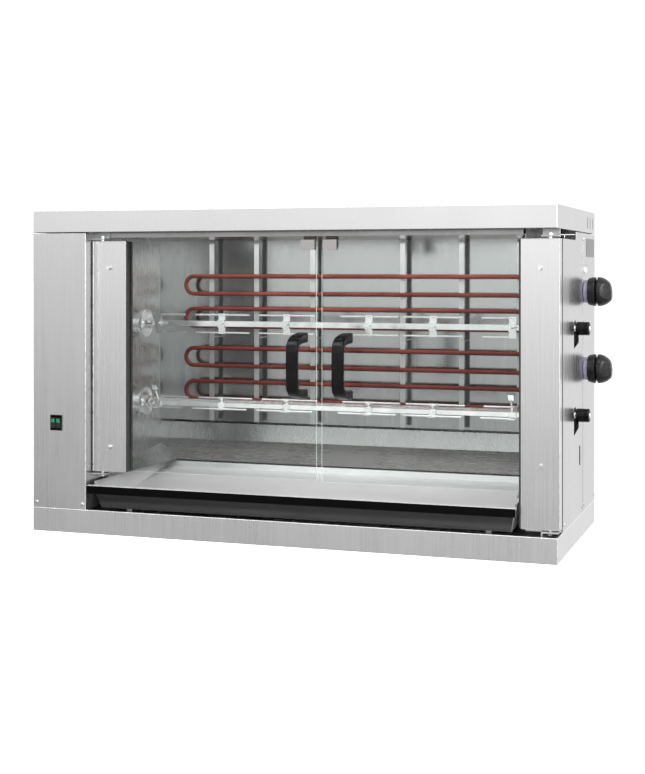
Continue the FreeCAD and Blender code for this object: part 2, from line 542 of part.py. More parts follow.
def make_bearings_and_motors():
    """Flanged bearings on the left wall, bushes in the right wall and the two gear motors."""
    flanges, bushes, motors = [], [], []
    for which, up in SPITS.items():
        spine = ("dims.spit_y", up)
        flange = rod(f"{which}_flange", "X", (CAVITY_LEFT, *spine), "dims.flange_thick", "dims.flange_radius")
        bore = rod(f"{which}_flange_bore", "X", (f"{CAVITY_LEFT} - 5", *spine), "20",
                   "dims.drive_shaft_radius + dims.shaft_play")
        flanges.append(cut(f"{which}_bearing", flange, [bore]))
        bush = rod(f"{which}_bush_barrel", "X", (f"{CAVITY_RIGHT} - 6", *spine), "14", "13.5")
        collar = rod(f"{which}_bush_collar", "X", (f"{CAVITY_RIGHT} - 6", *spine), "6", "18")
        hole = rod(f"{which}_bush_bore", "X", (f"{CAVITY_RIGHT} - 10", *spine), "22",
                   "dims.journal_radius + dims.journal_play")
        bushes.append(cut(f"{which}_bush", fuse(f"{which}_bush_fused", [bush, collar]), [hole]))
        back = f"({CAVITY_LEFT} - dims.metal - 9)"
        gearbox = box(f"{which}_gearbox", (f"{back} - dims.gearbox_long", back),
                      ("dims.spit_y - dims.gearbox_side / 2", "dims.spit_y + dims.gearbox_side / 2"),
                      (f"{up} - dims.gearbox_side / 2", f"{up} + dims.gearbox_side / 2"))
        motor = rod(f"{which}_motor_can", "Y", (f"{back} - dims.gearbox_long / 2",
                                                "dims.spit_y + dims.gearbox_side / 2", up),
                    "dims.motor_long", "dims.motor_radius")
        plates = []
        for end, near in (("front", "dims.spit_y - dims.gearbox_side / 2 - 14"),
                          ("back", "dims.spit_y + dims.gearbox_side / 2 - 2")):
            plates.append(box(f"{which}_motor_plate_{end}", (f"{back} - 2", f"{CAVITY_LEFT} - dims.metal"),
                              (near, f"{near} + 16"), (f"{up} - 30", f"{up} + 30")))
        socket = rod(f"{which}_motor_bore", "X", (f"{back} - 34", *spine), "60",
                     "dims.motor_shaft_radius + dims.shaft_play")
        whole = fuse(f"{which}_gear_motor_fused", [gearbox, motor] + plates)
        motors.append(cut(f"{which}_gear_motor", whole, [socket]))
    keep(group("bearings_group", flanges), "drive_bearings")
    keep(group("bushes_group", bushes), "spit_bushes")
    keep(group("motors_group", motors), "gear_motors")


def make_fork(name, place, up, sides):
    """Meat fork: a square hub on the bar, a flat cross strip and a pair of tines on each named side."""
    half, thick = "dims.hub_side / 2", "dims.fork_plate_thick / 2"
    across = (f"{place} - dims.hub_long / 2", f"{place} + dims.hub_long / 2")
    hub = box(name + "_hub", across, (f"dims.spit_y - {half}", f"dims.spit_y + {half}"),
              (f"{up} - {half}", f"{up} + {half}"))
    strip = box(name + "_strip", across, (f"dims.spit_y - {thick}", f"dims.spit_y + {thick}"),
                (f"{up} - dims.fork_plate_high / 2", f"{up} + dims.fork_plate_high / 2"))
    start = f"{place} - dims.tine_long" if "left" in sides else str(place)
    tines = [rod(f"{name}_tine_{end}", "X", (start, "dims.spit_y", f"{up} {sign} dims.tine_off"),
                 f"{len(sides)} * dims.tine_long", "dims.tine_radius")
             for end, sign in (("top", "+"), ("bottom", "-"))]
    bore = "dims.spit_side / 2"
    hole = box(name + "_hole", (f"{place} - 20", f"{place} + 20"),
               (f"dims.spit_y - {bore}", f"dims.spit_y + {bore}"), (f"{up} - {bore}", f"{up} + {bore}"))
    return cut(name, fuse(name + "_fused", [hub, strip] + tines), [hole])


def make_screw(name, place, up, reach, wing_long):
    """Thumb screw in the front face of a fork's hub, with a flat wing on its end."""
    hub_face = "(dims.spit_y - dims.hub_side / 2)"
    tip = f"({hub_face} - {reach})"
    shank_start = f"({tip} + {wing_long} - 2)"
    shank = rod(name + "_shank", "Y", (str(place), shank_start, up), f"{hub_face} - {shank_start}",
                "dims.screw_radius")
    wing = box(name + "_wing", (f"{place} - dims.thumb_wide / 2", f"{place} + dims.thumb_wide / 2"),
               (tip, f"{tip} + {wing_long}"),
               (f"{up} - dims.thumb_thick / 2", f"{up} + dims.thumb_thick / 2"))
    return fuse(name, [shank, wing])


def make_spit(which, up):
    """Square bar with its round journal, six forks, their screws and the grip on the outer end."""
    spine = ("dims.spit_y", up)
    half = "dims.spit_side / 2"
    bar = box(f"{which}_square", ("dims.spit_left", "dims.journal_start"),
              (f"dims.spit_y - {half}", f"dims.spit_y + {half}"), (f"{up} - {half}", f"{up} + {half}"))
    sleeve = rod(f"{which}_sleeve", "X", ("dims.sleeve_start", *spine),
                 "dims.sleeve_end - dims.sleeve_start", "dims.sleeve_radius")
    journal = rod(f"{which}_journal", "X", ("dims.journal_start", *spine),
                  "dims.grip_start + dims.grip_long + 1 - dims.journal_start", "dims.journal_radius")

    forks, screws = [], []
    for index, place in enumerate(FORK_PLACES):
        forks.append(make_fork(f"{which}_fork_{index}", place, up, ("left", "right")))
        screws.append(make_screw(f"{which}_screw_{index}", place, up, "dims.short_screw",
                                 "dims.short_wing"))
    for place, side in zip(END_FORK_PLACES, ("right", "left")):
        forks.append(make_fork(f"{which}_end_fork_{side}", place, up, (side,)))
        screws.append(make_screw(f"{which}_end_screw_{side}", place, up, "dims.long_screw",
                                 "dims.long_wing"))
    for label, whole in ((f"{which}_spit_bar", fuse(f"{which}_bar_fused", [bar, sleeve, journal])),
                         (f"{which}_meat_forks", group(f"{which}_forks_group", forks)),
                         (f"{which}_fork_screws", group(f"{which}_screws_group", screws))):
        keep(turned(label + "_turned", whole, up, TURN[which]), label)

    radius, start, end = "dims.grip_radius", "dims.grip_start", "(dims.grip_start + dims.grip_long)"
    handle = revolve(f"{which}_grip_body", [
        (start, "0"), (start, f"{radius} - 1"), (f"{start} + 1", radius), (f"{end} - 2", radius),
        (end, f"{radius} - 2"), (end, "0")])
    bind(handle, y="dims.spit_y", z=up)
    bore = rod(f"{which}_grip_bore", "X", (f"{start} - {CUT}", *spine), f"dims.grip_long + {2 * CUT}",
               "dims.journal_radius + dims.journal_play")
    keep(cut(f"{which}_grip_cut", handle, [bore]), f"{which}_spit_grip")


# ---------------------------------------------------------------- doors

def make_door(which, outer, inward, stile_wide, stile_low, pane_edge):
    """One door: U-channel stile, gasket, glass pane, studs, hinge pins, handle and catch clip.

    outer is the stile's outer edge and inward is +1 or -1, pointing from it to the meeting edge.
    """
    def span(near, far):
        first, last = f"({outer} + {inward} * ({near}))", f"({outer} + {inward} * ({far}))"
        return (first, last) if inward > 0 else (last, first)

    high = (stile_low, "dims.door_top")
    block = box(f"{which}_stile_block", span("0", stile_wide), (DOOR_FRONT, DOOR_BACK), high)
    hollow = box(f"{which}_stile_hollow", span("dims.metal", f"{stile_wide} + 5"),
                 (f"{DOOR_FRONT} + dims.metal", f"{DOOR_BACK} - dims.metal"),
                 (f"{stile_low} + dims.metal", "dims.door_top - dims.metal"))
    keep(cut(f"{which}_stile", block, [hollow]), f"{which}_door_stile")

    pane_low = "dims.pane_low" if which == "left" else "dims.pane_low - 2"
    edge = (f"{outer} + {inward} * dims.pane_seat", pane_edge)
    pane = box(f"{which}_pane", edge if inward > 0 else edge[::-1], (PANE_FRONT, PANE_BACK),
               (pane_low, PANE_TOP))
    keep(pane, f"{which}_door_glass")

    mouth_z = (f"{stile_low} + dims.metal + 0.5", "dims.door_top - dims.metal")
    strip = box(f"{which}_gasket_block", span(f"{stile_wide} - 8", f"{stile_wide} + dims.gasket_proud"),
                (f"{DOOR_FRONT} + dims.metal", f"{DOOR_BACK} - dims.metal"), mouth_z)
    keep(cut(f"{which}_gasket_cut", strip, [pane]), f"{which}_door_gasket")

    pins = []
    pivot = f"({outer} + {inward} * dims.pivot_in)"
    for name, low in (("top", "dims.door_top"), ("bottom", f"{stile_low} - dims.pin_long")):
        pins.append(rod(f"{which}_pin_{name}", "Z", (pivot, PIVOT_Y, low), "dims.pin_long",
                        "dims.pin_radius"))
    keep(group(f"{which}_pins_group", pins), f"{which}_hinge_pins")

    studs = []
    stud_x = f"({outer} + {inward} * {stile_wide} / 2)"
    for name, up in (("top", "dims.door_top - dims.stud_up"),
                     ("bottom", "dims.left_stile_low + dims.stud_up - 4")):
        studs.append(rod(f"{which}_stud_{name}", "Y", (stud_x, f"{DOOR_FRONT} - dims.stud_long", up),
                         "dims.stud_long", "dims.stud_radius"))
    keep(group(f"{which}_studs_group", studs), f"{which}_door_studs")
    make_handle(which)
    make_catch(which, pane_edge, inward)


def make_handle(which):
    """Moulded pull handle: a thin upright bar on two arms that splay towards the pane."""
    foot, middle = PANE_FRONT, "dims.handle_centre"
    face = f"({PANE_FRONT} - dims.handle_proud)"
    grip_back = f"({face} + dims.handle_bar)"
    outer, inner = "dims.handle_high / 2", "(dims.handle_high / 2 - dims.handle_arm)"
    upper = [(foot, inner), (foot, outer),
             (f"{face} + dims.handle_shoulder", f"({outer} - dims.handle_slope)"),
             (face, "dims.handle_front / 2")]
    points = [(y, f"{middle} + {up}") for y, up in upper]
    points += [(y, f"{middle} - {up}") for y, up in reversed(upper)]
    points += [(grip_back, f"{middle} - dims.handle_open / 2"),
               (grip_back, f"{middle} + dims.handle_open / 2")]
    body = pad(f"{which}_handle", "YZ_Plane", points, "dims.handle_wide",
               f"dims.{which}_handle_x - dims.handle_wide / 2")
    keep(body, f"{which}_door_handle")


def make_catch(which, pane_edge, inward):
    """Steel clip folded over the top edge of the pane, which the magnet holds."""
    near = f"{pane_edge} - {inward} * dims.catch_in"
    far = f"{near} - {inward} * dims.catch_wide"
    across = (far, near) if inward > 0 else (near, far)
    block = box(f"{which}_clip_block", across,
                (f"{PANE_FRONT} - dims.catch_thick", f"{PANE_BACK} + dims.catch_thick"),
                (f"{PANE_TOP} - dims.catch_high", f"{PANE_TOP} + dims.catch_thick"))
    pane_room = box(f"{which}_clip_room", (f"{across[0]} - 1", f"{across[1]} + 1"), (PANE_FRONT, PANE_BACK),
                    (f"{PANE_TOP} - dims.catch_high - 1", PANE_TOP))
    keep(cut(f"{which}_clip", block, [pane_room]), f"{which}_door_catch")


def make_bracket(name, wall, inward, low, leg_ys, leg_top):
    """Fixed half of one hinge: a drilled plate with a leg that holds it to the casing."""
    if inward > 0:
        pivot, near = f"({wall} + dims.door_play + dims.pivot_in)", wall
    else:
        pivot, near = f"({wall} - dims.pivot_in)", f"{wall} - dims.metal"
    far = f"{wall} + {inward} * dims.bracket_wide"
    across = (near, far) if inward > 0 else (far, near)
    plate_ys = (f"{PIVOT_Y} - dims.bracket_deep / 2", f"{PIVOT_Y} + dims.bracket_deep / 2")
    plate = box(f"bracket_{name}", across, plate_ys, (low, f"{low} + dims.bracket_thick"))
    if leg_ys:
        leg = box(f"bracket_leg_{name}", across, leg_ys, (low, leg_top))
    else:
        leg = box(f"bracket_leg_{name}", (far, f"{far} + dims.bracket_thick"), plate_ys, (leg_top, low))
    hole = rod(f"bracket_hole_{name}", "Z", (pivot, PIVOT_Y, f"{low} - 3"), "12",
               "dims.pin_radius + dims.pin_play")
    return cut(f"bracket_{name}_cut", fuse(f"bracket_{name}_fused", [plate, leg]), [hole])


def make_brackets_and_magnets():
    """Fixed halves of the four hinges and the two magnets that hold the doors shut."""
    back_edge = f"{PIVOT_Y} + dims.bracket_deep / 2"
    top, top_leg = "dims.door_top + 3", (f"{HEADER_Y} - dims.bracket_thick", HEADER_Y)
    high = "dims.height - dims.cover_high + 6"
    left_low = "(dims.left_stile_low - 3 - dims.bracket_thick)"
    right_low = "(dims.right_stile_low - 2 - dims.bracket_thick)"
    brackets = [make_bracket("left_top", CAVITY_LEFT, 1, top, top_leg, high),
                make_bracket("right_top", RIGHT, -1, top, top_leg, high),
                make_bracket("left_low", CAVITY_LEFT, 1, left_low,
                             (f"{back_edge} - 1", f"{back_edge} + 20"), f"{left_low} + 6"),
                make_bracket("right_low", RIGHT, -1, right_low, None, "dims.base_plate_up + dims.metal")]
    keep(group("brackets_group", brackets), "hinge_brackets")

    magnets = []
    behind = f"({PANE_BACK} + dims.catch_thick + 0.6)"
    for name, sign in (("left", "-"), ("right", "+")):
        centre = f"(dims.meeting_x {sign} (dims.meeting_gap / 2 + dims.catch_in + dims.catch_wide / 2))"
        magnets.append(box(f"magnet_{name}", (f"{centre} - 12", f"{centre} + 12"),
                           (behind, f"{behind} + 14"), ("dims.door_top - 16", "dims.cavity_top")))
    keep(group("magnets_group", magnets), "magnet_catches")


# ---------------------------------------------------------------- controls and small parts

def make_knob(which, up):
    """Switch knob: collar, flared skirt, V groove, tapered grip and the spindle it turns."""
    base, radius, long = f"({RIGHT} + dims.knob_lift)", "dims.knob_radius", "dims.knob_long"
    body = revolve(f"{which}_knob_body", [
        (f"{base} - dims.spindle_long", "0"), (f"{base} - dims.spindle_long", "dims.spindle_radius"),
        (base, "dims.spindle_radius"), (base, "dims.collar_radius"),
        (f"{base} + dims.collar_long", "dims.collar_radius"),
        (f"{base} + dims.collar_long", f"{radius} - 3"), (f"{base} + dims.skirt_end", radius),
        (f"({base} + (dims.skirt_end + dims.groove_end) / 2)", f"{radius} - 9"),
        (f"{base} + dims.groove_end", radius), (f"{base} + {long} * 0.7", f"{radius} - 1"),
        (f"{base} + {long} * 0.88", f"{radius} - 5"), (f"{base} + {long}", f"{radius} * 0.6"),
        (f"{base} + {long}", "0")])
    bind(body, y="dims.knob_y", z=up)
    keep(body, f"{which}_knob")


def make_controls():
    """Rotary switches behind the knobs, pilot lamp, rocker switch bezel and its two rockers."""
    switches = []
    for which, up in KNOBS.items():
        half = "dims.switch_side / 2"
        block = box(f"{which}_switch_block",
                    (f"{RIGHT} - dims.metal - dims.switch_deep", f"{RIGHT} - dims.metal"),
                    (f"dims.knob_y - {half}", f"dims.knob_y + {half}"), (f"{up} - {half}", f"{up} + {half}"))
        bore = rod(f"{which}_switch_bore", "X", (f"{RIGHT} - 20", "dims.knob_y", up), "30",
                   "dims.spindle_radius + 0.05")
        switches.append(cut(f"{which}_switch", block, [bore]))
        make_knob(which, up)
    keep(group("switches_group", switches), "rotary_switches")

    lamp = revolve("lamp_body", [(f"{RIGHT} - 14", "0"), (f"{RIGHT} - 14", "4.6"), (RIGHT, "4.6"),
                                 (RIGHT, "dims.lamp_radius"), (f"{RIGHT} + 3", "dims.lamp_radius"),
                                 (f"{RIGHT} + dims.lamp_proud", "dims.lamp_radius - 3"),
                                 (f"{RIGHT} + dims.lamp_proud", "0")])
    bind(lamp, y="dims.knob_y", z="dims.lamp_z")
    keep(lamp, "pilot_lamp")

    wide, high = "dims.bezel_wide / 2", "dims.bezel_high / 2"
    flange = box("bezel_flange", (f"dims.rocker_x - {wide}", f"dims.rocker_x + {wide}"),
                 (f"{FRONT} - dims.bezel_proud", FRONT),
                 (f"dims.rocker_z - {high}", f"dims.rocker_z + {high}"))
    barrel = box("bezel_barrel", *BARREL_FACE[:1], (FRONT, f"{FRONT} + dims.bezel_deep"), *BARREL_FACE[1:])
    room_wide = "(dims.rocker_wide / 2 + dims.rocker_play)"
    room_high = "(dims.rocker_high / 2 + dims.rocker_play + dims.rocker_swing)"
    tools = []
    for side, sign in (("left", "-"), ("right", "+")):
        centre = f"(dims.rocker_x {sign} dims.rocker_half_gap)"
        tools.append(box(f"{side}_rocker_room", (f"{centre} - {room_wide}", f"{centre} + {room_wide}"),
                         (f"{FRONT} - {CUT}", f"{FRONT} + dims.bezel_deep - 2"),
                         (f"dims.rocker_z - {room_high}", f"dims.rocker_z + {room_high}")))
        make_rocker(side, centre)
    keep(cut("bezel_cut", fuse("bezel_fused", [flange, barrel]), tools), "rocker_bezel")


def make_rocker(side, centre):
    """Rocker button: two faces that meet in a shallow V, on a short axle."""
    axis_y = f"({FRONT} + dims.rocker_axis_in)"
    half, face = "dims.rocker_high / 2", f"({FRONT} - dims.bezel_proud - dims.rocker_flush)"
    points = [(f"{face} - dims.rocker_raise", f"dims.rocker_z + {half}"), (face, "dims.rocker_z"),
              (face, f"dims.rocker_z - {half}"), (axis_y, f"dims.rocker_z - {half} + 3"),
              (f"{axis_y} + 4", "dims.rocker_z"), (axis_y, f"dims.rocker_z + {half} - 3")]
    start, long = f"({centre} - dims.rocker_wide / 2)", "dims.rocker_wide"
    button = pad(f"{side}_rocker_body", "YZ_Plane", points, long, start)
    axle = rod(f"{side}_rocker_axle", "X", (f"{start} - 0.4", axis_y, "dims.rocker_z"), f"{long} + 0.8",
               "dims.rocker_axle")
    keep(fuse(f"{side}_rocker_fused", [button, axle]), f"{side}_rocker")


def make_small_parts():
    """Blank rating plate, cable gland and the screws that hold the casing."""
    keep(box("plate_box", (RIGHT, f"{RIGHT} + dims.plate_thick"),
             ("dims.plate_y - dims.plate_wide / 2", "dims.plate_y + dims.plate_wide / 2"),
             ("dims.plate_z - dims.plate_high / 2", "dims.plate_z + dims.plate_high / 2")),
         "rating_plate")
    inner = f"({BACK} - dims.gland_in)"
    body = rod("gland_body", "Y", ("dims.gland_x", inner, "dims.gland_z"), "dims.gland_in + 2",
               "dims.gland_body")
    nut = rod("gland_nut", "Y", ("dims.gland_x", BACK, "dims.gland_z"), "dims.gland_nut_long",
              "dims.gland_nut")
    dome = cone("gland_dome", "Y", ("dims.gland_x", f"{BACK} + dims.gland_nut_long", "dims.gland_z"),
                "dims.gland_dome_long", "dims.gland_nut - 2", "dims.gland_nut - 6")
    bore = rod("gland_through", "Y", ("dims.gland_x", f"{inner} - {CUT}", "dims.gland_z"), "50",
               "dims.gland_bore")
    keep(cut("gland_cut", fuse("gland_fused", [body, nut, dome]), [bore]), "cable_gland")

    heads = []
    for index, (x, z) in enumerate(FRONT_SCREWS):
        heads.append(rod(f"front_screw_{index}", "Y", (str(x), f"{FRONT} - dims.head_high", str(z)),
                         "dims.head_high", "dims.screw_head"))
    for index, (y, z) in enumerate(SIDE_SCREWS):
        heads.append(rod(f"side_screw_{index}", "X", (RIGHT, str(y), str(z)), "dims.head_high",
                         "dims.screw_head"))
    for index, (y, z) in enumerate(LEFT_SCREWS):
        heads.append(rod(f"left_screw_{index}", "X", (f"{LEFT} - dims.head_high", str(y), str(z)),
                         "dims.head_high", "dims.screw_head"))
    for index, (x, z) in enumerate(BACK_SCREWS):
        heads.append(rod(f"back_screw_{index}", "Y", (str(x), BACK, str(z)), "dims.head_high",
                         "dims.screw_head"))
    strip_y, strip_z = STRIP_SCREW
    heads.append(rod("strip_screw", "X", (f"{CAVITY_LEFT} + dims.metal",
                                          f"dims.cavity_back + {strip_y}", str(strip_z)),
                     "dims.head_high", "dims.screw_head"))
    for which, up in SPITS.items():
        for index, (across, rise) in enumerate(FLANGE_SCREWS):
            heads.append(rod(f"{which}_flange_screw_{index}", "X",
                             (f"{CAVITY_LEFT} + dims.flange_thick", f"dims.spit_y + {across}",
                              f"{up} + {rise}"), "0.7", "dims.screw_radius"))
    keep(group("screws_group", heads), "casing_screws")


# ---------------------------------------------------------------- assembly

make_base()
make_top_cover()
make_left_cabinet()
make_right_side()
make_back()
make_cavity()
make_tray()
make_elements()
make_bearings_and_motors()
for spit, height in SPITS.items():
    make_drive(spit, height)
    make_spit(spit, height)
make_door("left", f"({CAVITY_LEFT} + dims.door_play)", 1, "dims.left_stile_wide", "dims.left_stile_low",
          "(dims.meeting_x - dims.meeting_gap / 2)")
make_door("right", f"({RIGHT})", -1, "dims.right_stile_wide", "dims.right_stile_low",
          "(dims.meeting_x + dims.meeting_gap / 2)")
make_brackets_and_magnets()
make_controls()
make_small_parts()
doc.recompute()

# ---------------------------------------------------------------- checks and export

for thing in doc.Objects:
    if "Invalid" in thing.State or "Error" in thing.State:
        raise RuntimeError("%s failed: %s" % (thing.Label, thing.State))
labels = [node.Label for node in nodes]
if len(set(labels)) != len(labels) or len(labels) > 60:
    raise RuntimeError("labels repeat or are too many: %d" % len(labels))
os.makedirs("parts", exist_ok=True)
for node in nodes:
    shape = node.Shape
    if shape.isNull() or not shape.isValid() or not shape.Solids:
        raise RuntimeError("bad shape: " + node.Label)
    shape.exportStep(os.path.join("parts", node.Label + ".step"))
    print("%-24s solids %2d  volume %9.1f cm3" % (node.Label, len(shape.Solids), shape.Volume / 1000))
print("nodes", len(nodes))
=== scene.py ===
import math

import bmesh
import bpy
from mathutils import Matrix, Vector


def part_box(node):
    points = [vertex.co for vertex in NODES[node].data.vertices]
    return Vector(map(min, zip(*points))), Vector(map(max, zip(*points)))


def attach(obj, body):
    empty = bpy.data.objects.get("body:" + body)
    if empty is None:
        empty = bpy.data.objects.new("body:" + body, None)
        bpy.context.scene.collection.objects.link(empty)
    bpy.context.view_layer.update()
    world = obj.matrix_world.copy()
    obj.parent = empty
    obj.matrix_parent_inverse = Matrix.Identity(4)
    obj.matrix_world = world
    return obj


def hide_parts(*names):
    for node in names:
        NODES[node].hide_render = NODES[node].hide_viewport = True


# Rotisserie oven with two spits, in metres: X to the right, Y to the back, Z up.
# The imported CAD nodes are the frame. This script gives each of them a procedural
# finish, and builds as finished pieces the handles, knobs, grips, rocker lenses, screw
# heads and bright sheet edges.

MM = 0.001

SLOPING_FROM = 0.3              # a normal's Z from which a face counts as level or sloping
PEBBLE = 0.9 * MM               # cell of a moulded skin
FRONT_STRIP_Y = (-0.204, -0.196)    # where a sheet's front strip of painted shade ends
SHADE_FACING = (-0.5, -0.3)      # a normal's Y: painted shade up to the first, none from the second
SHADE_END_Y = (-0.2, -0.19)      # where the painted shade on the tray ends
LIP_SHADE_Y = (-0.2465, -0.243)     # the painted shade is blackest in front of these
BEVEL_FROM = 25                 # degrees
SHARP_FROM = 32                 # degrees
CORNER_POINTS = 5               # points round each corner of a rounded section
TURNED_SIDES = 56
SCREW_SIDES = 24
KNOB_FOOT_X = 0.576             # where the knobs' profiles start, 1 mm off the control cover
CAVITY_LEFT_X = (-0.45, -0.40)  # where a screw is on the cavity's left wall

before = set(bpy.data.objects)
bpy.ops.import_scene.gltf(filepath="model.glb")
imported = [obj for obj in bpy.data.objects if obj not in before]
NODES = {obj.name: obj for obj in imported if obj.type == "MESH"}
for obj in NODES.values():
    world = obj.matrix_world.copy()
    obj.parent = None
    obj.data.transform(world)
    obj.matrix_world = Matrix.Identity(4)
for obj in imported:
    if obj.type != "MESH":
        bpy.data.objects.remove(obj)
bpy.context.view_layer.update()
scene = bpy.context.scene


# ---------------------------------------------------------------- materials

def new_material(name):
    """An empty material with its output node: (material, nodes, links, output)."""
    material = bpy.data.materials.new(name)
    material.use_nodes = True
    tree = material.node_tree
    tree.nodes.clear()
    output = tree.nodes.new("ShaderNodeOutputMaterial")
    return material, tree.nodes, tree.links, output


def feed(links, socket, value):
    """Links an output to the socket, or sets a plain value on it."""
    if isinstance(value, bpy.types.NodeSocket):
        links.new(value, socket)
    else:
        socket.default_value = value


def principled(nodes, links, output, **values):
    """A Principled shader on the output, with constants on its own sockets."""
    shader = nodes.new("ShaderNodeBsdfPrincipled")
    for socket, value in values.items():
        shader.inputs[socket.replace("_", " ")].default_value = value
    links.new(shader.outputs[0], output.inputs["Surface"])
    return shader


def axes(nodes, links, vector):
    """The outputs X, Y and Z of a vector."""
    parts = nodes.new("ShaderNodeSeparateXYZ")
    links.new(vector, parts.inputs[0])
    return parts.outputs


def computed(nodes, links, operation, *values):
    """The result of a Math node on outputs or numbers."""
    node = nodes.new("ShaderNodeMath")
    node.operation = operation
    for socket, value in zip(node.inputs, values):
        feed(links, socket, value)
    return node.outputs[0]


def place(nodes, links, scale=(1, 1, 1)):
    """Object coordinates stretched by scale on each axis."""
    coords = nodes.new("ShaderNodeTexCoord")
    mapping = nodes.new("ShaderNodeMapping")
    mapping.inputs["Scale"].default_value = scale
    links.new(coords.outputs["Object"], mapping.inputs["Vector"])
    return mapping.outputs[0]


def noise(nodes, links, scale, detail=2.0, rough=0.5):
    """Noise between 0 and 1 whose cells are 1/scale metres on each axis."""
    texture = nodes.new("ShaderNodeTexNoise")
    texture.inputs["Scale"].default_value = 1.0
    texture.inputs["Detail"].default_value = detail
    texture.inputs["Roughness"].default_value = rough
    links.new(place(nodes, links, scale), texture.inputs["Vector"])
    return texture.outputs["Fac"]


def spread(nodes, links, value, low, high, start=0.3, stop=0.7):
    """value from start..stop mapped to low..high, clamped."""
    fit = nodes.new("ShaderNodeMapRange")
    fit.inputs["From Min"].default_value = start
    fit.inputs["From Max"].default_value = stop
    fit.inputs["To Min"].default_value = low
    fit.inputs["To Max"].default_value = high
    links.new(value, fit.inputs["Value"])
    return fit.outputs[0]


def mixed(nodes, links, factor, low, high, blend="MIX"):
    """Colour between low and high by factor; each is an output or a plain value."""
    node = nodes.new("ShaderNodeMix")
    node.data_type = "RGBA"
    node.blend_type = blend
    feed(links, node.inputs["Factor"], factor)
    for name, colour in (("A", low), ("B", high)):
        linked = isinstance(colour, bpy.types.NodeSocket)
        feed(links, node.inputs[name], colour if linked else (*colour, 1))
    return node.outputs["Result"]


def summed(nodes, links, first, second, share):
    """first * (1 - share) + second * share."""
    blend = nodes.new("ShaderNodeMix")
    blend.data_type = "FLOAT"
    feed(links, blend.inputs["Factor"], share)
    links.new(first, blend.inputs["A"])
    links.new(second, blend.inputs["B"])
    return blend.outputs["Result"]


def face_normal(nodes, links):
    """The outputs X, Y and Z of the face's own normal."""
    return axes(nodes, links, nodes.new("ShaderNodeNewGeometry").outputs["True Normal"])


def level_faces(nodes, links):
    """1 on level and sloping faces, 0 on upright ones."""
    upward = computed(nodes, links, "ABSOLUTE", face_normal(nodes, links)["Z"])
    return computed(nodes, links, "GREATER_THAN", upward, SLOPING_FROM)


def grain(nodes, links, pitch, run, detail):
    """Brushed lines pitch apart and run long: upright on walls, along X on level faces."""
    fine, long = 1 / pitch, 1 / run
    upright = noise(nodes, links, (fine, fine, long), detail)
    level = noise(nodes, links, (long, fine, fine), detail)
    return summed(nodes, links, upright, level, level_faces(nodes, links))


def drawn_haze(nodes, links):
    """Broad drawn lines under cloudy haze, for bright sheet."""
    lines = grain(nodes, links, 3.0 * MM, 500 * MM, 2.0)
    haze = noise(nodes, links, (7, 7, 5), 4.0, 0.6)
    return summed(nodes, links, lines, haze, 0.6)


def bumped(nodes, links, shader, height, distance, strength=1.0):
    """Adds a bump to the shader, of height times distance in metres."""
    bump = nodes.new("ShaderNodeBump")
    bump.inputs["Distance"].default_value = distance
    bump.inputs["Strength"].default_value = strength
    links.new(height, bump.inputs["Height"])
    links.new(bump.outputs[0], shader.inputs["Normal"])


def brushed_steel(name, tone, rough, contrast):
    """Stainless sheet with a satin grain of two widths and faint cloudy smears."""
    material, nodes, links, output = new_material(name)
    shader = principled(nodes, links, output, Metallic=1.0)
    broad = grain(nodes, links, 2.2 * MM, 260 * MM, 3.0)
    fine = grain(nodes, links, 0.35 * MM, 40 * MM, 2.0)
    lines = summed(nodes, links, broad, fine, 0.45)
    low = (tone * (1 - contrast),) * 3
    high = (min(tone * (1 + contrast), 1.0),) * 3
    links.new(mixed(nodes, links, spread(nodes, links, lines, 0, 1), low, high),
              shader.inputs["Base Color"])
    cloud = noise(nodes, links, (9, 9, 6), 3.0)
    wear = summed(nodes, links, lines, cloud, 0.4)
    links.new(spread(nodes, links, wear, rough * 0.75, rough * 1.25),
              shader.inputs["Roughness"])
    bumped(nodes, links, shader, lines, 0.02 * MM, 0.35)
    return material


def shaded_front(nodes, links, colour, keep):
    """Painted shade: colour times keep on the strip in front of FRONT_STRIP_Y, and unchanged behind
    it.
    """
    across = axes(nodes, links, place(nodes, links))["Y"]
    share = spread(nodes, links, across, keep, 1.0, *FRONT_STRIP_Y)
    return mixed(nodes, links, 1, colour, share, "MULTIPLY")


def polished_steel(name, tone, rough, wave, metallic=1.0, front=None):
    """Bright annealed sheet: nearly a mirror, with slow waves, drawn lines and haze.

    front is the share of its tone that the sheet's front strip keeps under painted shade.
    """
    material, nodes, links, output = new_material(name)
    shader = principled(nodes, links, output, Metallic=metallic)
    both = drawn_haze(nodes, links)
    colour = mixed(nodes, links, spread(nodes, links, both, 0, 1),
                   (tone * 0.9,) * 3, (tone * 1.04, tone * 1.04, tone * 1.03))
    if front is not None:
        colour = shaded_front(nodes, links, colour, front)
    links.new(colour, shader.inputs["Base Color"])
    links.new(spread(nodes, links, both, rough * 0.6, rough * 1.5),
              shader.inputs["Roughness"])
    bumped(nodes, links, shader, noise(nodes, links, (6, 6, 4), 1.0), 3 * MM, wave)
    return material


def moulded_plastic(name, dark, light, rough, shine=0.5):
    """Moulded or painted skin, finely pebbled, with faint rub marks."""
    material, nodes, links, output = new_material(name)
    shader = principled(nodes, links, output, Specular_IOR_Level=shine)
    rub = noise(nodes, links, (60, 60, 60), 4.0, 0.6)
    links.new(mixed(nodes, links, spread(nodes, links, rub, 0, 1), dark, light),
              shader.inputs["Base Color"])
    links.new(spread(nodes, links, rub, rough * 0.8, rough * 1.2),
              shader.inputs["Roughness"])
    skin = noise(nodes, links, (1 / PEBBLE,) * 3, 2.0)
    bumped(nodes, links, shader, skin, 0.05 * MM, 0.5)
    return material


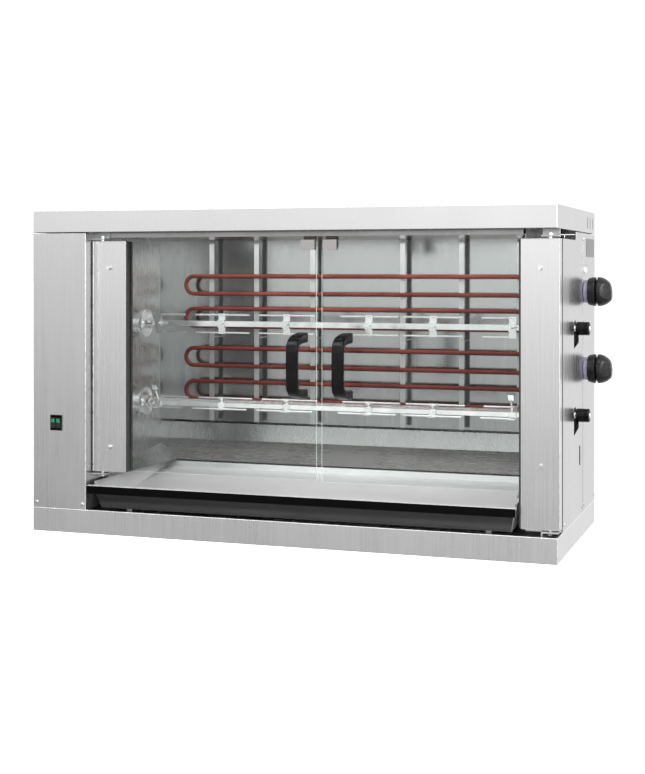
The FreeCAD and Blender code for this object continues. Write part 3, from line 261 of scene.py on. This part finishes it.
def plain_metal(name, tone, rough, cell, scratch=0.02 * MM, tint=(1.0, 1.0, 1.0),
                metallic=1.0):
    """Plated or cast metal with spotty haze and small scratches."""
    material, nodes, links, output = new_material(name)
    shader = principled(nodes, links, output, Metallic=metallic)
    spots = noise(nodes, links, (1 / cell,) * 3, 4.0, 0.6)
    low = [tone * 0.86 * t for t in tint]
    high = [tone * 1.05 * t for t in tint]
    links.new(mixed(nodes, links, spread(nodes, links, spots, 0, 1), low, high),
              shader.inputs["Base Color"])
    links.new(spread(nodes, links, spots, rough * 0.7, rough * 1.4),
              shader.inputs["Roughness"])
    bumped(nodes, links, shader, spots, scratch, 0.4)
    return material


def tray_steel(name):
    """Pale pan inside; its front faces are darkened by painted shade, blackest along the lip."""
    material, nodes, links, output = new_material(name)
    shader = principled(nodes, links, output)
    both = drawn_haze(nodes, links)
    pale = mixed(nodes, links, spread(nodes, links, both, 0, 1), (0.48,) * 3, (0.58,) * 3)
    across = axes(nodes, links, place(nodes, links))["Y"]
    facing = spread(nodes, links, face_normal(nodes, links)["Y"], 1, 0, *SHADE_FACING)
    near = spread(nodes, links, across, 1, 0, *SHADE_END_Y)
    dark = computed(nodes, links, "MULTIPLY", facing, near)
    # painted shade on the tray's front faces, near black along the lip
    painted_shade = mixed(nodes, links, spread(nodes, links, across, 0, 1, *LIP_SHADE_Y),
                 (0.008,) * 3, (0.055,) * 3)
    links.new(mixed(nodes, links, dark, pale, painted_shade), shader.inputs["Base Color"])
    links.new(spread(nodes, links, dark, 0.45, 1.0, 0, 1), shader.inputs["Metallic"])
    links.new(spread(nodes, links, both, 0.26, 0.42), shader.inputs["Roughness"])
    bumped(nodes, links, shader, noise(nodes, links, (6, 6, 4), 1.0), 3 * MM, 0.04)
    return material


def sheath_red(name):
    """Heater sheath: oxidised dark red with browner bands along the rod, and a faint painted glow.
    """
    material, nodes, links, output = new_material(name)
    shader = principled(nodes, links, output, Specular_IOR_Level=0.2)
    bands = noise(nodes, links, (9, 40, 40), 3.0, 0.6)
    speckle = noise(nodes, links, (700, 700, 700), 3.0, 0.7)
    both = summed(nodes, links, bands, speckle, 0.35)
    colour = mixed(nodes, links, spread(nodes, links, both, 0, 1),
                   (0.026, 0.002, 0.001), (0.105, 0.016, 0.010))
    links.new(colour, shader.inputs["Base Color"])
    # a painted glow in the sheath's own colour keeps its red bright in the dim cavity; the sheath
    # is no lamp
    links.new(colour, shader.inputs["Emission Color"])
    shader.inputs["Emission Strength"].default_value = 0.1
    links.new(spread(nodes, links, both, 0.32, 0.5), shader.inputs["Roughness"])
    bumped(nodes, links, shader, speckle, 0.05 * MM, 0.5)
    return material


def mixed_shaders(nodes, links, factor, first, second):
    """first shading into second by factor."""
    blend = nodes.new("ShaderNodeMixShader")
    for socket, value in zip(blend.inputs, (factor, first, second)):
        links.new(value, socket)
    return blend.outputs[0]


def pane_glass(name):
    """Clear toughened pane: see-through faces with a sharp sheen, and sea-green cut edges."""
    material, nodes, links, output = new_material(name)
    clear = nodes.new("ShaderNodeBsdfTransparent")
    clear.inputs["Color"].default_value = (0.965, 0.98, 0.975, 1)
    sheen = nodes.new("ShaderNodeBsdfPrincipled")
    sheen.inputs["Metallic"].default_value = 1.0
    smear = noise(nodes, links, (14, 14, 7), 4.0, 0.6)
    links.new(mixed(nodes, links, spread(nodes, links, smear, 0, 1),
                    (0.93, 0.94, 0.94), (1.0, 1.0, 1.0)), sheen.inputs["Base Color"])
    links.new(spread(nodes, links, smear, 0.01, 0.05), sheen.inputs["Roughness"])
    fresnel = nodes.new("ShaderNodeFresnel")
    fresnel.inputs["IOR"].default_value = 1.3
    # only the side the ray comes in by reflects, so that the pane is clear at every angle
    leaving = nodes.new("ShaderNodeNewGeometry").outputs["Backfacing"]
    entering = computed(nodes, links, "SUBTRACT", 1.0, leaving)
    gloss = computed(nodes, links, "MULTIPLY", fresnel.outputs[0], entering)
    face = mixed_shaders(nodes, links, gloss, clear.outputs[0], sheen.outputs[0])
    edge = nodes.new("ShaderNodeBsdfPrincipled")
    edge.inputs["Base Color"].default_value = (0.55, 0.68, 0.63, 1)
    edge.inputs["Roughness"].default_value = 0.2
    turned = axes(nodes, links, nodes.new("ShaderNodeTexCoord").outputs["Normal"])
    along = computed(nodes, links, "ABSOLUTE", turned["Y"])
    cut = computed(nodes, links, "LESS_THAN", along, 0.5)
    share = computed(nodes, links, "MULTIPLY", cut, 0.55)
    links.new(mixed_shaders(nodes, links, share, face, edge.outputs[0]),
              output.inputs["Surface"])
    return material


def lit_lens(name, dark, light, glow):
    """Small coloured lens with a soft ribbed glow."""
    material, nodes, links, output = new_material(name)
    shader = principled(nodes, links, output, Roughness=0.18)
    ribs = noise(nodes, links, (900, 900, 900), 1.0)
    colour = mixed(nodes, links, spread(nodes, links, ribs, 0, 1), dark, light)
    links.new(colour, shader.inputs["Base Color"])
    links.new(colour, shader.inputs["Emission Color"])
    shader.inputs["Emission Strength"].default_value = glow
    return material


STEEL_COVER = brushed_steel("steel_cover", 0.66, 0.28, 0.035)
STEEL_CASE = brushed_steel("steel_case", 0.60, 0.30, 0.06)
STEEL_SIDE = brushed_steel("steel_side", 0.62, 0.28, 0.04)
STEEL_BASE = brushed_steel("steel_base", 0.70, 0.30, 0.05)
STEEL_DOOR = brushed_steel("steel_door", 0.68, 0.26, 0.06)
STEEL_CAVITY = polished_steel("steel_cavity", 0.50, 0.15, 0.08)
# the ceiling's front strip keeps half its tone, as painted shade
STEEL_CEILING = polished_steel("steel_ceiling", 0.56, 0.2, 0.1, 1.0, 0.5)
STEEL_WALL = polished_steel("steel_wall", 0.50, 0.24, 0.06, 0.9)
STEEL_SLOPE = polished_steel("steel_slope", 0.38, 0.26, 0.03, 0.85)
STEEL_TRAY = tray_steel("steel_tray")
# paler than any sheet it edges: partly a painted highlight, partly lamps caught by the beads'
# rounding
EDGE_HIGHLIGHT = plain_metal("steel_edge_highlight", 0.95, 0.3, 14 * MM)
GLASS = pane_glass("door_pane")
BLACK = moulded_plastic("black_moulding", (0.002, 0.002, 0.0022), (0.005, 0.005, 0.0055), 0.16,
                        shine=0.16)
KNOB_BLACK = moulded_plastic("knob_moulding", (0.006, 0.006, 0.0065), (0.014, 0.013, 0.013),
                             0.28, shine=0.22)
# the collar's lilac is a painted reflection of bluish light at the knob's foot
COLLAR_REFLECTION = moulded_plastic("knob_collar", (0.17, 0.16, 0.22), (0.24, 0.23, 0.30), 0.4)
RUBBER = moulded_plastic("seal_rubber", (0.012, 0.012, 0.012), (0.022, 0.021, 0.020), 0.6)
SWITCH_BLACK = moulded_plastic("switch_moulding", (0.006, 0.006, 0.006),
                               (0.012, 0.012, 0.012), 0.3, shine=0.35)
CHROME = plain_metal("chrome", 0.84, 0.08, 30 * MM)
CATCH = plain_metal("catch_steel", 0.42, 0.24, 9 * MM, tint=(1.0, 0.95, 0.95))
SPIT_STEEL = plain_metal("spit_steel", 0.82, 0.17, 30 * MM, 0.004 * MM, metallic=0.85)
STRAP = plain_metal("strap_steel", 0.46, 0.42, 40 * MM, 0.002 * MM, metallic=0.8)
COUPLING = plain_metal("coupling_steel", 0.80, 0.12, 25 * MM, 0.004 * MM, metallic=0.85)
SCREW_STEEL = plain_metal("screw_steel", 0.72, 0.2, 6 * MM)
ZINC = plain_metal("zinc_plate", 0.55, 0.34, 12 * MM, tint=(0.98, 0.99, 1.0))
MOTOR_GREY = moulded_plastic("motor_paint", (0.10, 0.105, 0.11), (0.15, 0.155, 0.16), 0.5)
CERAMIC = moulded_plastic("ceramic", (0.55, 0.52, 0.46), (0.68, 0.65, 0.60), 0.55)
MAGNET = moulded_plastic("magnet", (0.03, 0.028, 0.026), (0.06, 0.055, 0.05), 0.5)
PLATE = moulded_plastic("rating_foil", (0.13, 0.13, 0.13), (0.18, 0.18, 0.18), 0.5, shine=0.2)
HEATER = sheath_red("heater_sheath")
LENS = lit_lens("pilot_lens", (0.55, 0.53, 0.52), (0.72, 0.70, 0.68), 0.05)
GREEN = lit_lens("green_lens", (0.0, 0.06, 0.03), (0.01, 0.20, 0.10), 0.25)

FINISHES = {
    "base_frame": STEEL_BASE, "base_plate": STEEL_BASE, "top_cover": STEEL_COVER,
    "left_cabinet_shell": STEEL_CASE, "left_inner_wall": STEEL_WALL,
    "right_side_panel": STEEL_SIDE, "right_control_cover": STEEL_SIDE,
    "right_inner_wall": STEEL_WALL, "rear_panel": STEEL_SIDE,
    "rear_reflector": STEEL_CAVITY, "cavity_ceiling": STEEL_CEILING,
    "corner_strip": STEEL_CAVITY, "rear_deflector": STEEL_SLOPE,
    "side_deflectors": STEEL_SLOPE, "tray_runners": ZINC,
    "upper_heating_elements": HEATER, "lower_heating_elements": HEATER,
    "element_terminals": CERAMIC, "element_straps": STRAP,
    "drive_bearings": ZINC, "spit_bushes": CHROME, "gear_motors": MOTOR_GREY,
    "hinge_brackets": ZINC, "magnet_catches": MAGNET,
    "rotary_switches": SWITCH_BLACK, "pilot_lamp": LENS, "rocker_bezel": SWITCH_BLACK,
    "rating_plate": PLATE, "cable_gland": BLACK, "casing_screws": SCREW_STEEL,
    "drip_tray": STEEL_TRAY,
    "upper_drive_coupling": COUPLING, "lower_drive_coupling": COUPLING,
    "upper_knob": KNOB_BLACK, "lower_knob": KNOB_BLACK,
    "left_rocker": SWITCH_BLACK, "right_rocker": SWITCH_BLACK,
}
for which in ("left", "right"):
    FINISHES.update({
        f"{which}_door_stile": STEEL_DOOR, f"{which}_door_glass": GLASS,
        f"{which}_door_gasket": RUBBER, f"{which}_hinge_pins": CHROME,
        f"{which}_door_studs": CHROME, f"{which}_door_handle": BLACK,
        f"{which}_door_catch": CATCH,
    })
for which in ("upper", "lower"):
    FINISHES.update({
        f"{which}_spit_bar": SPIT_STEEL, f"{which}_meat_forks": SPIT_STEEL,
        f"{which}_fork_screws": CHROME, f"{which}_spit_grip": BLACK,
    })

for name, node in NODES.items():
    for slot in node.material_slots:
        slot.material = FINISHES[name]
    if not node.material_slots:
        node.data.materials.append(FINISHES[name])


# ---------------------------------------------------------------- pieces

def add_piece(name, bm, body, finish, stands_for=()):
    """Turns a bmesh into a piece that rides on a body, with sharp edges kept sharp."""
    bmesh.ops.recalc_face_normals(bm, faces=bm.faces)
    mesh = bpy.data.meshes.new(name)
    bm.to_mesh(mesh)
    bm.free()
    mesh.shade_smooth()
    mesh.set_sharp_from_angle(angle=math.radians(SHARP_FROM))
    mesh.materials.append(finish)
    piece = bpy.data.objects.new(name, mesh)
    scene.collection.objects.link(piece)
    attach(piece, body)
    if stands_for:
        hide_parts(*stands_for)
    return piece


def soften(piece, width):
    """Rounds the edges of a CAD node that turn by more than BEVEL_FROM degrees."""
    weld = piece.modifiers.new("join", "WELD")
    weld.merge_threshold = 0.002 * MM
    bevel = piece.modifiers.new("rounded", "BEVEL")
    bevel.width = width
    bevel.segments = 2
    bevel.limit_method = "ANGLE"
    bevel.angle_limit = math.radians(BEVEL_FROM)
    bevel.use_clamp_overlap = True
    bevel.harden_normals = True


def skin_rings(bm, rings):
    """Quads between rings of the same number of points, with a face on each end."""
    rows = [[bm.verts.new(point) for point in ring] for ring in rings]
    count = len(rows[0])
    for lower, upper in zip(rows, rows[1:]):
        for index in range(count):
            after = (index + 1) % count
            bm.faces.new((lower[index], lower[after], upper[after], upper[index]))
    bm.faces.new(rows[0][::-1])
    bm.faces.new(rows[-1])


def rounded_section(half_wide, half_deep, corner):
    """Points of a rounded rectangle round (0, 0), as (across, deep)."""
    points = []
    for quarter, (side, end) in enumerate(((1, 1), (-1, 1), (-1, -1), (1, -1))):
        for step in range(CORNER_POINTS):
            turn = math.radians(90 * (quarter + step / (CORNER_POINTS - 1)))
            points.append((side * (half_wide - corner) + corner * math.cos(turn),
                           end * (half_deep - corner) + corner * math.sin(turn)))
    return points


def turned_rings(profile, centre, squash=lambda along, y, z: (along, y, z)):
    """Rings round the X axis through centre from (along, radius) pairs, reshaped by squash."""
    rings = []
    for along, radius in profile:
        ring = []
        for index in range(TURNED_SIDES):
            turn = 2 * math.pi * index / TURNED_SIDES
            x, y, z = squash(along, radius * math.cos(turn), radius * math.sin(turn))
            ring.append((x, centre[0] + y, centre[1] + z))
        rings.append(ring)
    return rings


def round_box(node):
    """Lowest and highest corners, (y, z) centre and radius of a round node along X."""
    low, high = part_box(node)
    centre = ((low.y + high.y) / 2, (low.z + high.z) / 2)
    return low, high, centre, (high.y - low.y) / 2


def make_handle(which):
    """Gloss black pull: one section swept up the bar and round into the two arms."""
    node = f"{which}_door_handle"
    low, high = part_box(node)
    middle, centre = (low.x + high.x) / 2, (low.z + high.z) / 2
    half_wide, half_high = (high.x - low.x) / 2, (high.z - low.z) / 2
    # middle line of the upper half, from the bar's middle to the pane: depth, height, thickness
    line = [(7.0, 0, 14), (7.0, 30, 14), (7.3, 38, 14.2), (9.5, 43.5, 14.8), (14.5, 48.6, 15.4),
            (22.0, 52.4, 16.2), (34.0, 55.0, 17.6), (50.0, 57.0, 19.3), (69.0, 58.6, 20.6)]
    path = [(d, -h, t) for d, h, t in reversed(line[1:])] + line
    drawn_reach, corner, crown_rise = 69 * MM, 3.2 * MM, 0.8 * MM
    scale = (high.y - low.y) / drawn_reach
    rings = []
    for index, (deep, up, thick) in enumerate(path):
        before, after = path[max(index - 1, 0)], path[min(index + 1, len(path) - 1)]
        along = Vector((0, after[0] - before[0], after[1] - before[1])).normalized()
        if index in (0, len(path) - 1):
            along = Vector((0, math.copysign(1, after[0] - before[0]), 0))
        out = Vector((0, along.z, -along.y))
        ring = []
        for across, depth in rounded_section(half_wide, thick / 2 * MM, corner):
            crown = crown_rise * (1 - (across / half_wide) ** 2)
            push = depth + (crown - crown_rise if depth < 0 else 0)
            point = Vector((middle + across, low.y + deep * MM * scale, centre + up * MM))
            point += Vector((0, out.y, out.z)) * push
            point.y = min(max(point.y, low.y), high.y)
            point.z = min(max(point.z, centre - half_high), centre + half_high)
            ring.append(point)
        rings.append(ring)
    bm = bmesh.new()
    skin_rings(bm, rings)
    add_piece(f"{which}_pull_handle", bm, f"{which}_door", BLACK, (node,))


def make_knob(which):
    """Switch knob: collar ring whose lilac is a painted reflection, flared skirt, groove, and a
    body tapered to a wedge.
    """
    node = f"{which}_knob"
    _, high, centre, radius = round_box(node)
    length = high.x - KNOB_FOOT_X

    def wedge(along, y, z):
        """Leans the two flanks of the outer part in, so that a ridge is left across the end."""
        reach = max(0.0, (along - KNOB_FOOT_X) / length - 0.56) / 0.44
        z *= 1 - 0.10 * reach
        y_limit = radius * (1 - 0.62 * reach ** 1.15)
        y = max(-y_limit, min(y_limit, y))
        along -= 4.5 * MM * reach * max(0.0, z / radius)
        return along, y, z

    # profiles as (along, radius) in millimetres, drawn for a knob of 31.5 mm radius
    skirt = [(8.5, 27.4), (9.2, 28.4), (12, 29.4), (20, 31.0), (23.0, 31.5), (23.9, 31.2),
             (26.3, 22.8), (26.7, 22.8), (29.1, 31.1), (30.0, 31.5), (34, 31.4), (38, 31.2),
             (42, 30.6), (46, 29.2), (50, 27.2), (54, 24.2), (56.6, 21.2), (57.7, 18.6), (58, 16.5)]
    collar = [(0, 22.0), (0, 23.6), (0.8, 24.5), (8.0, 24.5), (8.5, 24.0), (8.5, 22.0)]
    fit = radius / (31.5 * MM)

    def turned(profile, *squash):
        """A bmesh turned from one of the profiles."""
        bm = bmesh.new()
        sized = [(KNOB_FOOT_X + a * MM, r * MM * fit) for a, r in profile]
        skin_rings(bm, turned_rings(sized, centre, *squash))
        return bm

    add_piece(f"{which}_switch_knob", turned(skirt, wedge), node, KNOB_BLACK,
              (node,))
    add_piece(f"{which}_knob_collar", turned(collar), node, COLLAR_REFLECTION)


def make_grip(which):
    """Black sleeve on the spit's end with fine rings near its outer end."""
    node = f"{which}_spit_grip"
    low, high, centre, radius = round_box(node)
    # the profile is in millimetres
    full, end, bore = radius / MM, (high.x - low.x) / MM, 6.4
    profile = [(0.0, bore), (0.0, full - 1.2), (0.6, full - 0.3), (1.4, full)]
    for groove in range(5):
        start = end * (0.60 + 0.055 * groove)
        profile += [(start, full), (start + 0.3, full - 0.45), (start + 0.8, full - 0.45),
                    (start + 1.1, full)]
    profile += [(end - 1.8, full), (end - 0.7, full - 0.5), (end, full - 1.8),
                (end, full - 4.6), (end - 2.0, full - 5.4), (end - 2.0, bore)]
    bm = bmesh.new()
    skin_rings(bm, turned_rings([(low.x + a * MM, r * MM) for a, r in profile], centre))
    add_piece(f"{which}_grip_sleeve", bm, f"{which}_spit", BLACK, (node,))


def make_rocker_lamp(which):
    """Green lens let into the face of a rocker."""
    low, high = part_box(f"{which}_rocker")
    middle = (low.x + high.x) / 2
    full = (high.z - low.z) / 2 - 2.2 * MM
    half_wide, half_high = (high.x - low.x) / 2 - 2.0 * MM, full * 0.42
    centre = (low.z + high.z) / 2 + full * 0.45
    bm = bmesh.new()
    rings = []
    for out, inset in ((-1.4, 0.0), (0.15, 0.0), (0.55, 0.4), (0.75, 1.2)):
        ring = []
        for across, up in rounded_section(half_wide - inset * MM, half_high - inset * MM, 1.0 * MM):
            lean = 3.0 * MM * (up + full * 1.45) / (2 * full)
            depth = low.y + 3.4 * MM - lean * 0.9 - out * MM
            ring.append((middle + across, max(depth, low.y), centre + up))
        rings.append(ring)
    skin_rings(bm, rings)
    add_piece(f"{which}_rocker_lens", bm, f"{which}_rocker", GREEN)


def add_bead(name, points, radius, body, finish):
    """A thin rounded metal edge along a run of points."""
    curve = bpy.data.curves.new(name, "CURVE")
    curve.dimensions = "3D"
    curve.bevel_depth = radius
    curve.bevel_resolution = 3
    curve.use_fill_caps = True
    spline = curve.splines.new("POLY")
    spline.points.add(len(points) - 1)
    for target, point in zip(spline.points, points):
        target.co = (*point, 1)
    shape = bpy.data.objects.new(name + "_curve", curve)
    scene.collection.objects.link(shape)
    mesh = bpy.data.meshes.new_from_object(shape)
    bpy.data.objects.remove(shape)
    bm = bmesh.new()
    bm.from_mesh(mesh)
    bpy.data.meshes.remove(mesh)
    add_piece(name, bm, body, finish)


def make_beads():
    """Folded edges of the sheet parts, a hair proud of each sheet's own corner; their rounding
    catches the lamps, and their paler steel adds a painted highlight.
    """
    thick, thin, inset = 1.3 * MM, 0.8 * MM, Vector((0.6 * MM,) * 3)
    corner_foot_z, lip_z = 0.0015, 0.1033

    def inner(node):
        """A node's corners, moved in by the inset."""
        low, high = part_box(node)
        return low + inset, high - inset

    low, high = inner("base_frame")
    add_bead("base_rim", [(low.x, low.y, high.z), (high.x, low.y, high.z),
                          (high.x, high.y, high.z)], thick, "cabinet", EDGE_HIGHLIGHT)
    add_bead("base_corner", [(high.x, low.y, corner_foot_z), (high.x, low.y, high.z)],
             thick, "cabinet", EDGE_HIGHLIGHT)
    low, high = inner("left_door_stile")
    add_bead("left_stile_edge", [(low.x, low.y, low.z), (low.x, low.y, high.z),
                                 (high.x, low.y, high.z)], thick, "left_door", EDGE_HIGHLIGHT)
    low, high = inner("right_door_stile")
    add_bead("right_stile_edge", [(low.x, low.y, high.z), (high.x, low.y, high.z),
                                  (high.x, low.y, low.z)], thick, "right_door", EDGE_HIGHLIGHT)
    low, high = inner("drip_tray")
    add_bead("tray_lip_edge", [(low.x, low.y, lip_z), (high.x, low.y, lip_z)],
             thin, "tray", EDGE_HIGHLIGHT)
    low, high = inner("left_cabinet_shell")
    add_bead("cabinet_edge", [(high.x, low.y, low.z), (high.x, low.y, high.z)],
             thick, "cabinet", EDGE_HIGHLIGHT)


def screw_places():
    """Lowest and highest corners, thin axis and radius of each loose solid in casing_screws."""
    bm = bmesh.new()
    bm.from_mesh(NODES["casing_screws"].data)
    bmesh.ops.remove_doubles(bm, verts=bm.verts, dist=0.001 * MM)
    seen, found = set(), []
    for start in bm.verts:
        if start in seen:
            continue
        island, queue = [], [start]
        seen.add(start)
        while queue:
            vert = queue.pop()
            island.append(vert.co.copy())
            for edge in vert.link_edges:
                other = edge.other_vert(vert)
                if other not in seen:
                    seen.add(other)
                    queue.append(other)
        low = Vector([min(co[axis] for co in island) for axis in range(3)])
        high = Vector([max(co[axis] for co in island) for axis in range(3)])
        size = high - low
        thin = min(range(3), key=lambda axis: size[axis])
        found.append((low, high, thin, max(size) / 2))
    bm.free()
    return found


def screw_ring(middle, thin, radius, shares, level):
    """Points round middle at level on the thin axis, each at its share of the radius."""
    first, second = [axis for axis in range(3) if axis != thin]
    ring = []
    for index, share in enumerate(shares):
        turn = 2 * math.pi * index / len(shares)
        point = Vector((0, 0, 0))
        point[first] = middle[first] + radius * share * math.cos(turn)
        point[second] = middle[second] + radius * share * math.sin(turn)
        point[thin] = level
        ring.append(point)
    return ring


def make_screws():
    """Domed screw heads with a cross recess, one piece for the whole casing."""
    # the dome as (share of the radius, share of the height), and the cross at its top
    dome = [(1.0, 0.0), (1.0, 0.35), (0.93, 0.62), (0.76, 0.86), (0.5, 0.97), (0.34, 1.0)]
    cross = [0.30 if index % 6 in (0, 1, 5) else 0.13 for index in range(SCREW_SIDES)]
    bm = bmesh.new()
    for low, high, thin, radius in screw_places():
        middle = (low + high) / 2
        outward = 1 if middle[thin] > 0 else -1
        # the screws on the cavity's left wall look into the cavity
        if thin == 0 and CAVITY_LEFT_X[0] < middle.x < CAVITY_LEFT_X[1]:
            outward = 1
        base = low[thin] if outward > 0 else high[thin]
        rise = high[thin] - low[thin]
        rows = [screw_ring(middle, thin, radius, [share] * SCREW_SIDES,
                           base + outward * rise * up) for share, up in dome]
        recess = screw_ring(middle, thin, radius, cross, base + outward * rise * 0.98)
        depth = Vector((0, 0, 0))
        depth[thin] = outward * rise * 0.5
        rows += [recess, [point - depth for point in recess]]
        skin_rings(bm, rows)
    add_piece("casing_screw_heads", bm, "cabinet", SCREW_STEEL, ("casing_screws",))


for which in ("left", "right"):
    make_handle(which)
    make_rocker_lamp(which)
for which in ("upper", "lower"):
    make_knob(which)
    make_grip(which)
make_beads()
make_screws()

# rounding of CAD nodes' edges, in millimetres
SOFTENED = {
    "top_cover": 1.2, "base_frame": 0.9, "left_cabinet_shell": 0.7, "right_side_panel": 0.5,
    "right_control_cover": 0.5, "left_door_stile": 0.8, "right_door_stile": 0.8,
    "left_door_studs": 0.8, "right_door_studs": 0.8, "hinge_brackets": 0.4,
    "upper_spit_bar": 0.8, "lower_spit_bar": 0.8, "upper_fork_screws": 0.5,
    "lower_fork_screws": 0.5, "upper_drive_coupling": 0.9, "lower_drive_coupling": 0.9,
    "rocker_bezel": 0.6, "magnet_catches": 0.5, "cable_gland": 0.8, "rating_plate": 0.2,
}
for name, width in SOFTENED.items():
    soften(NODES[name], width * MM)


# ---------------------------------------------------------------- stage and light

def make_floor():
    """A pale round floor, far wider than the view."""
    bm = bmesh.new()
    bmesh.ops.create_circle(bm, cap_ends=True, segments=96, radius=60)
    mesh = bpy.data.meshes.new("floor")
    bm.to_mesh(mesh)
    bm.free()
    floor = bpy.data.objects.new("floor", mesh)
    scene.collection.objects.link(floor)
    floor.location.z = -0.5 * MM
    material, nodes, links, output = new_material("floor_paper")
    shader = principled(nodes, links, output, Roughness=0.9)
    tone = noise(nodes, links, (1.5, 1.5, 1.5), 2.0)
    links.new(mixed(nodes, links, tone, (0.92,) * 3, (0.95,) * 3), shader.inputs["Base Color"])
    mesh.materials.append(material)
    floor.visible_glossy = False


def make_world():
    """Studio surround: white to the camera, and a soft sky, side and floor tone to metal."""
    world = bpy.data.worlds.new("studio")
    scene.world = world
    world.use_nodes = True
    nodes, links = world.node_tree.nodes, world.node_tree.links
    nodes.clear()
    output = nodes.new("ShaderNodeOutputWorld")
    way = axes(nodes, links, nodes.new("ShaderNodeTexCoord").outputs["Generated"])
    ramp = nodes.new("ShaderNodeValToRGB")
    ramp.color_ramp.interpolation = "EASE"
    # brightness by height, from straight down at 0 to straight up at 1
    stops = [(0.0, 0.38), (0.40, 0.43), (0.46, 0.60), (0.525, 1.45), (0.7, 1.4), (1.0, 1.2)]
    marks = ramp.color_ramp.elements
    while len(marks) < len(stops):
        marks.new(0.5)
    for mark, (position, value) in zip(marks, stops):
        mark.position = position
        mark.color = (value, value, value, 1)
    links.new(spread(nodes, links, way["Z"], 0, 1, -1, 1), ramp.inputs["Fac"])
    # the side of the room on the object's left is dimmer than the one in front
    side = spread(nodes, links, way["X"], 0.86, 1.2, -0.55, -0.12)
    shade = mixed(nodes, links, 1, ramp.outputs["Color"], side, "MULTIPLY")
    # behind the object the room is evenly bright down to the floor
    behind = spread(nodes, links, way["Y"], 0, 1, 0.2, 0.7)
    room = nodes.new("ShaderNodeBackground")
    links.new(mixed(nodes, links, behind, shade, (0.95,) * 3), room.inputs["Color"])
    paper = nodes.new("ShaderNodeBackground")
    paper.inputs["Color"].default_value = (1, 1, 1, 1)
    paper.inputs["Strength"].default_value = 1.05
    seen = nodes.new("ShaderNodeLightPath").outputs["Is Camera Ray"]
    links.new(mixed_shaders(nodes, links, seen, room.outputs[0], paper.outputs[0]),
              output.inputs["Surface"])


def make_light(name, place_at, aim, size, power, in_metal=True):
    """A rectangular soft box at place_at, aimed at a point; in_metal shows it in reflections."""
    light = bpy.data.lights.new(name, "AREA")
    light.shape = "RECTANGLE"
    light.size, light.size_y = size
    light.energy = power
    lamp = bpy.data.objects.new(name, light)
    scene.collection.objects.link(lamp)
    lamp.location = place_at
    lamp.rotation_mode = "QUATERNION"
    lamp.rotation_quaternion = (Vector(aim) - Vector(place_at)).to_track_quat("-Z", "Y")
    lamp.visible_camera = False
    lamp.visible_glossy = in_metal


def make_camera():
    """The level camera to the right of the object's front."""
    data = bpy.data.cameras.new("camera")
    data.lens = 66.0
    data.sensor_width = 36.0
    data.shift_x = -0.0052
    data.shift_y = -0.1527
    camera = bpy.data.objects.new("camera", data)
    scene.collection.objects.link(camera)
    camera.location = (1.036, -2.988, 0.572)
    camera.rotation_euler = (math.radians(90), 0, math.radians(18.8))
    scene.camera = camera


scene.view_settings.view_transform = "Standard"
make_floor()
make_world()
make_light("overhead_box", (-0.3, -1.6, 3.2), (0, 0, 0.3), (3.0, 1.6), 60)
make_light("front_box", (-1.8, -3.4, 1.9), (0, 0, 0.35), (1.6, 1.6), 45, False)
make_light("cavity_fill", (0.03, 0.03, 0.625), (0.03, 0.07, 0), (0.85, 0.26), 6.5, False)
make_light("right_box", (2.6, -1.1, 1.3), (0.3, 0, 0.35), (0.5, 1.6), 45)
make_camera()
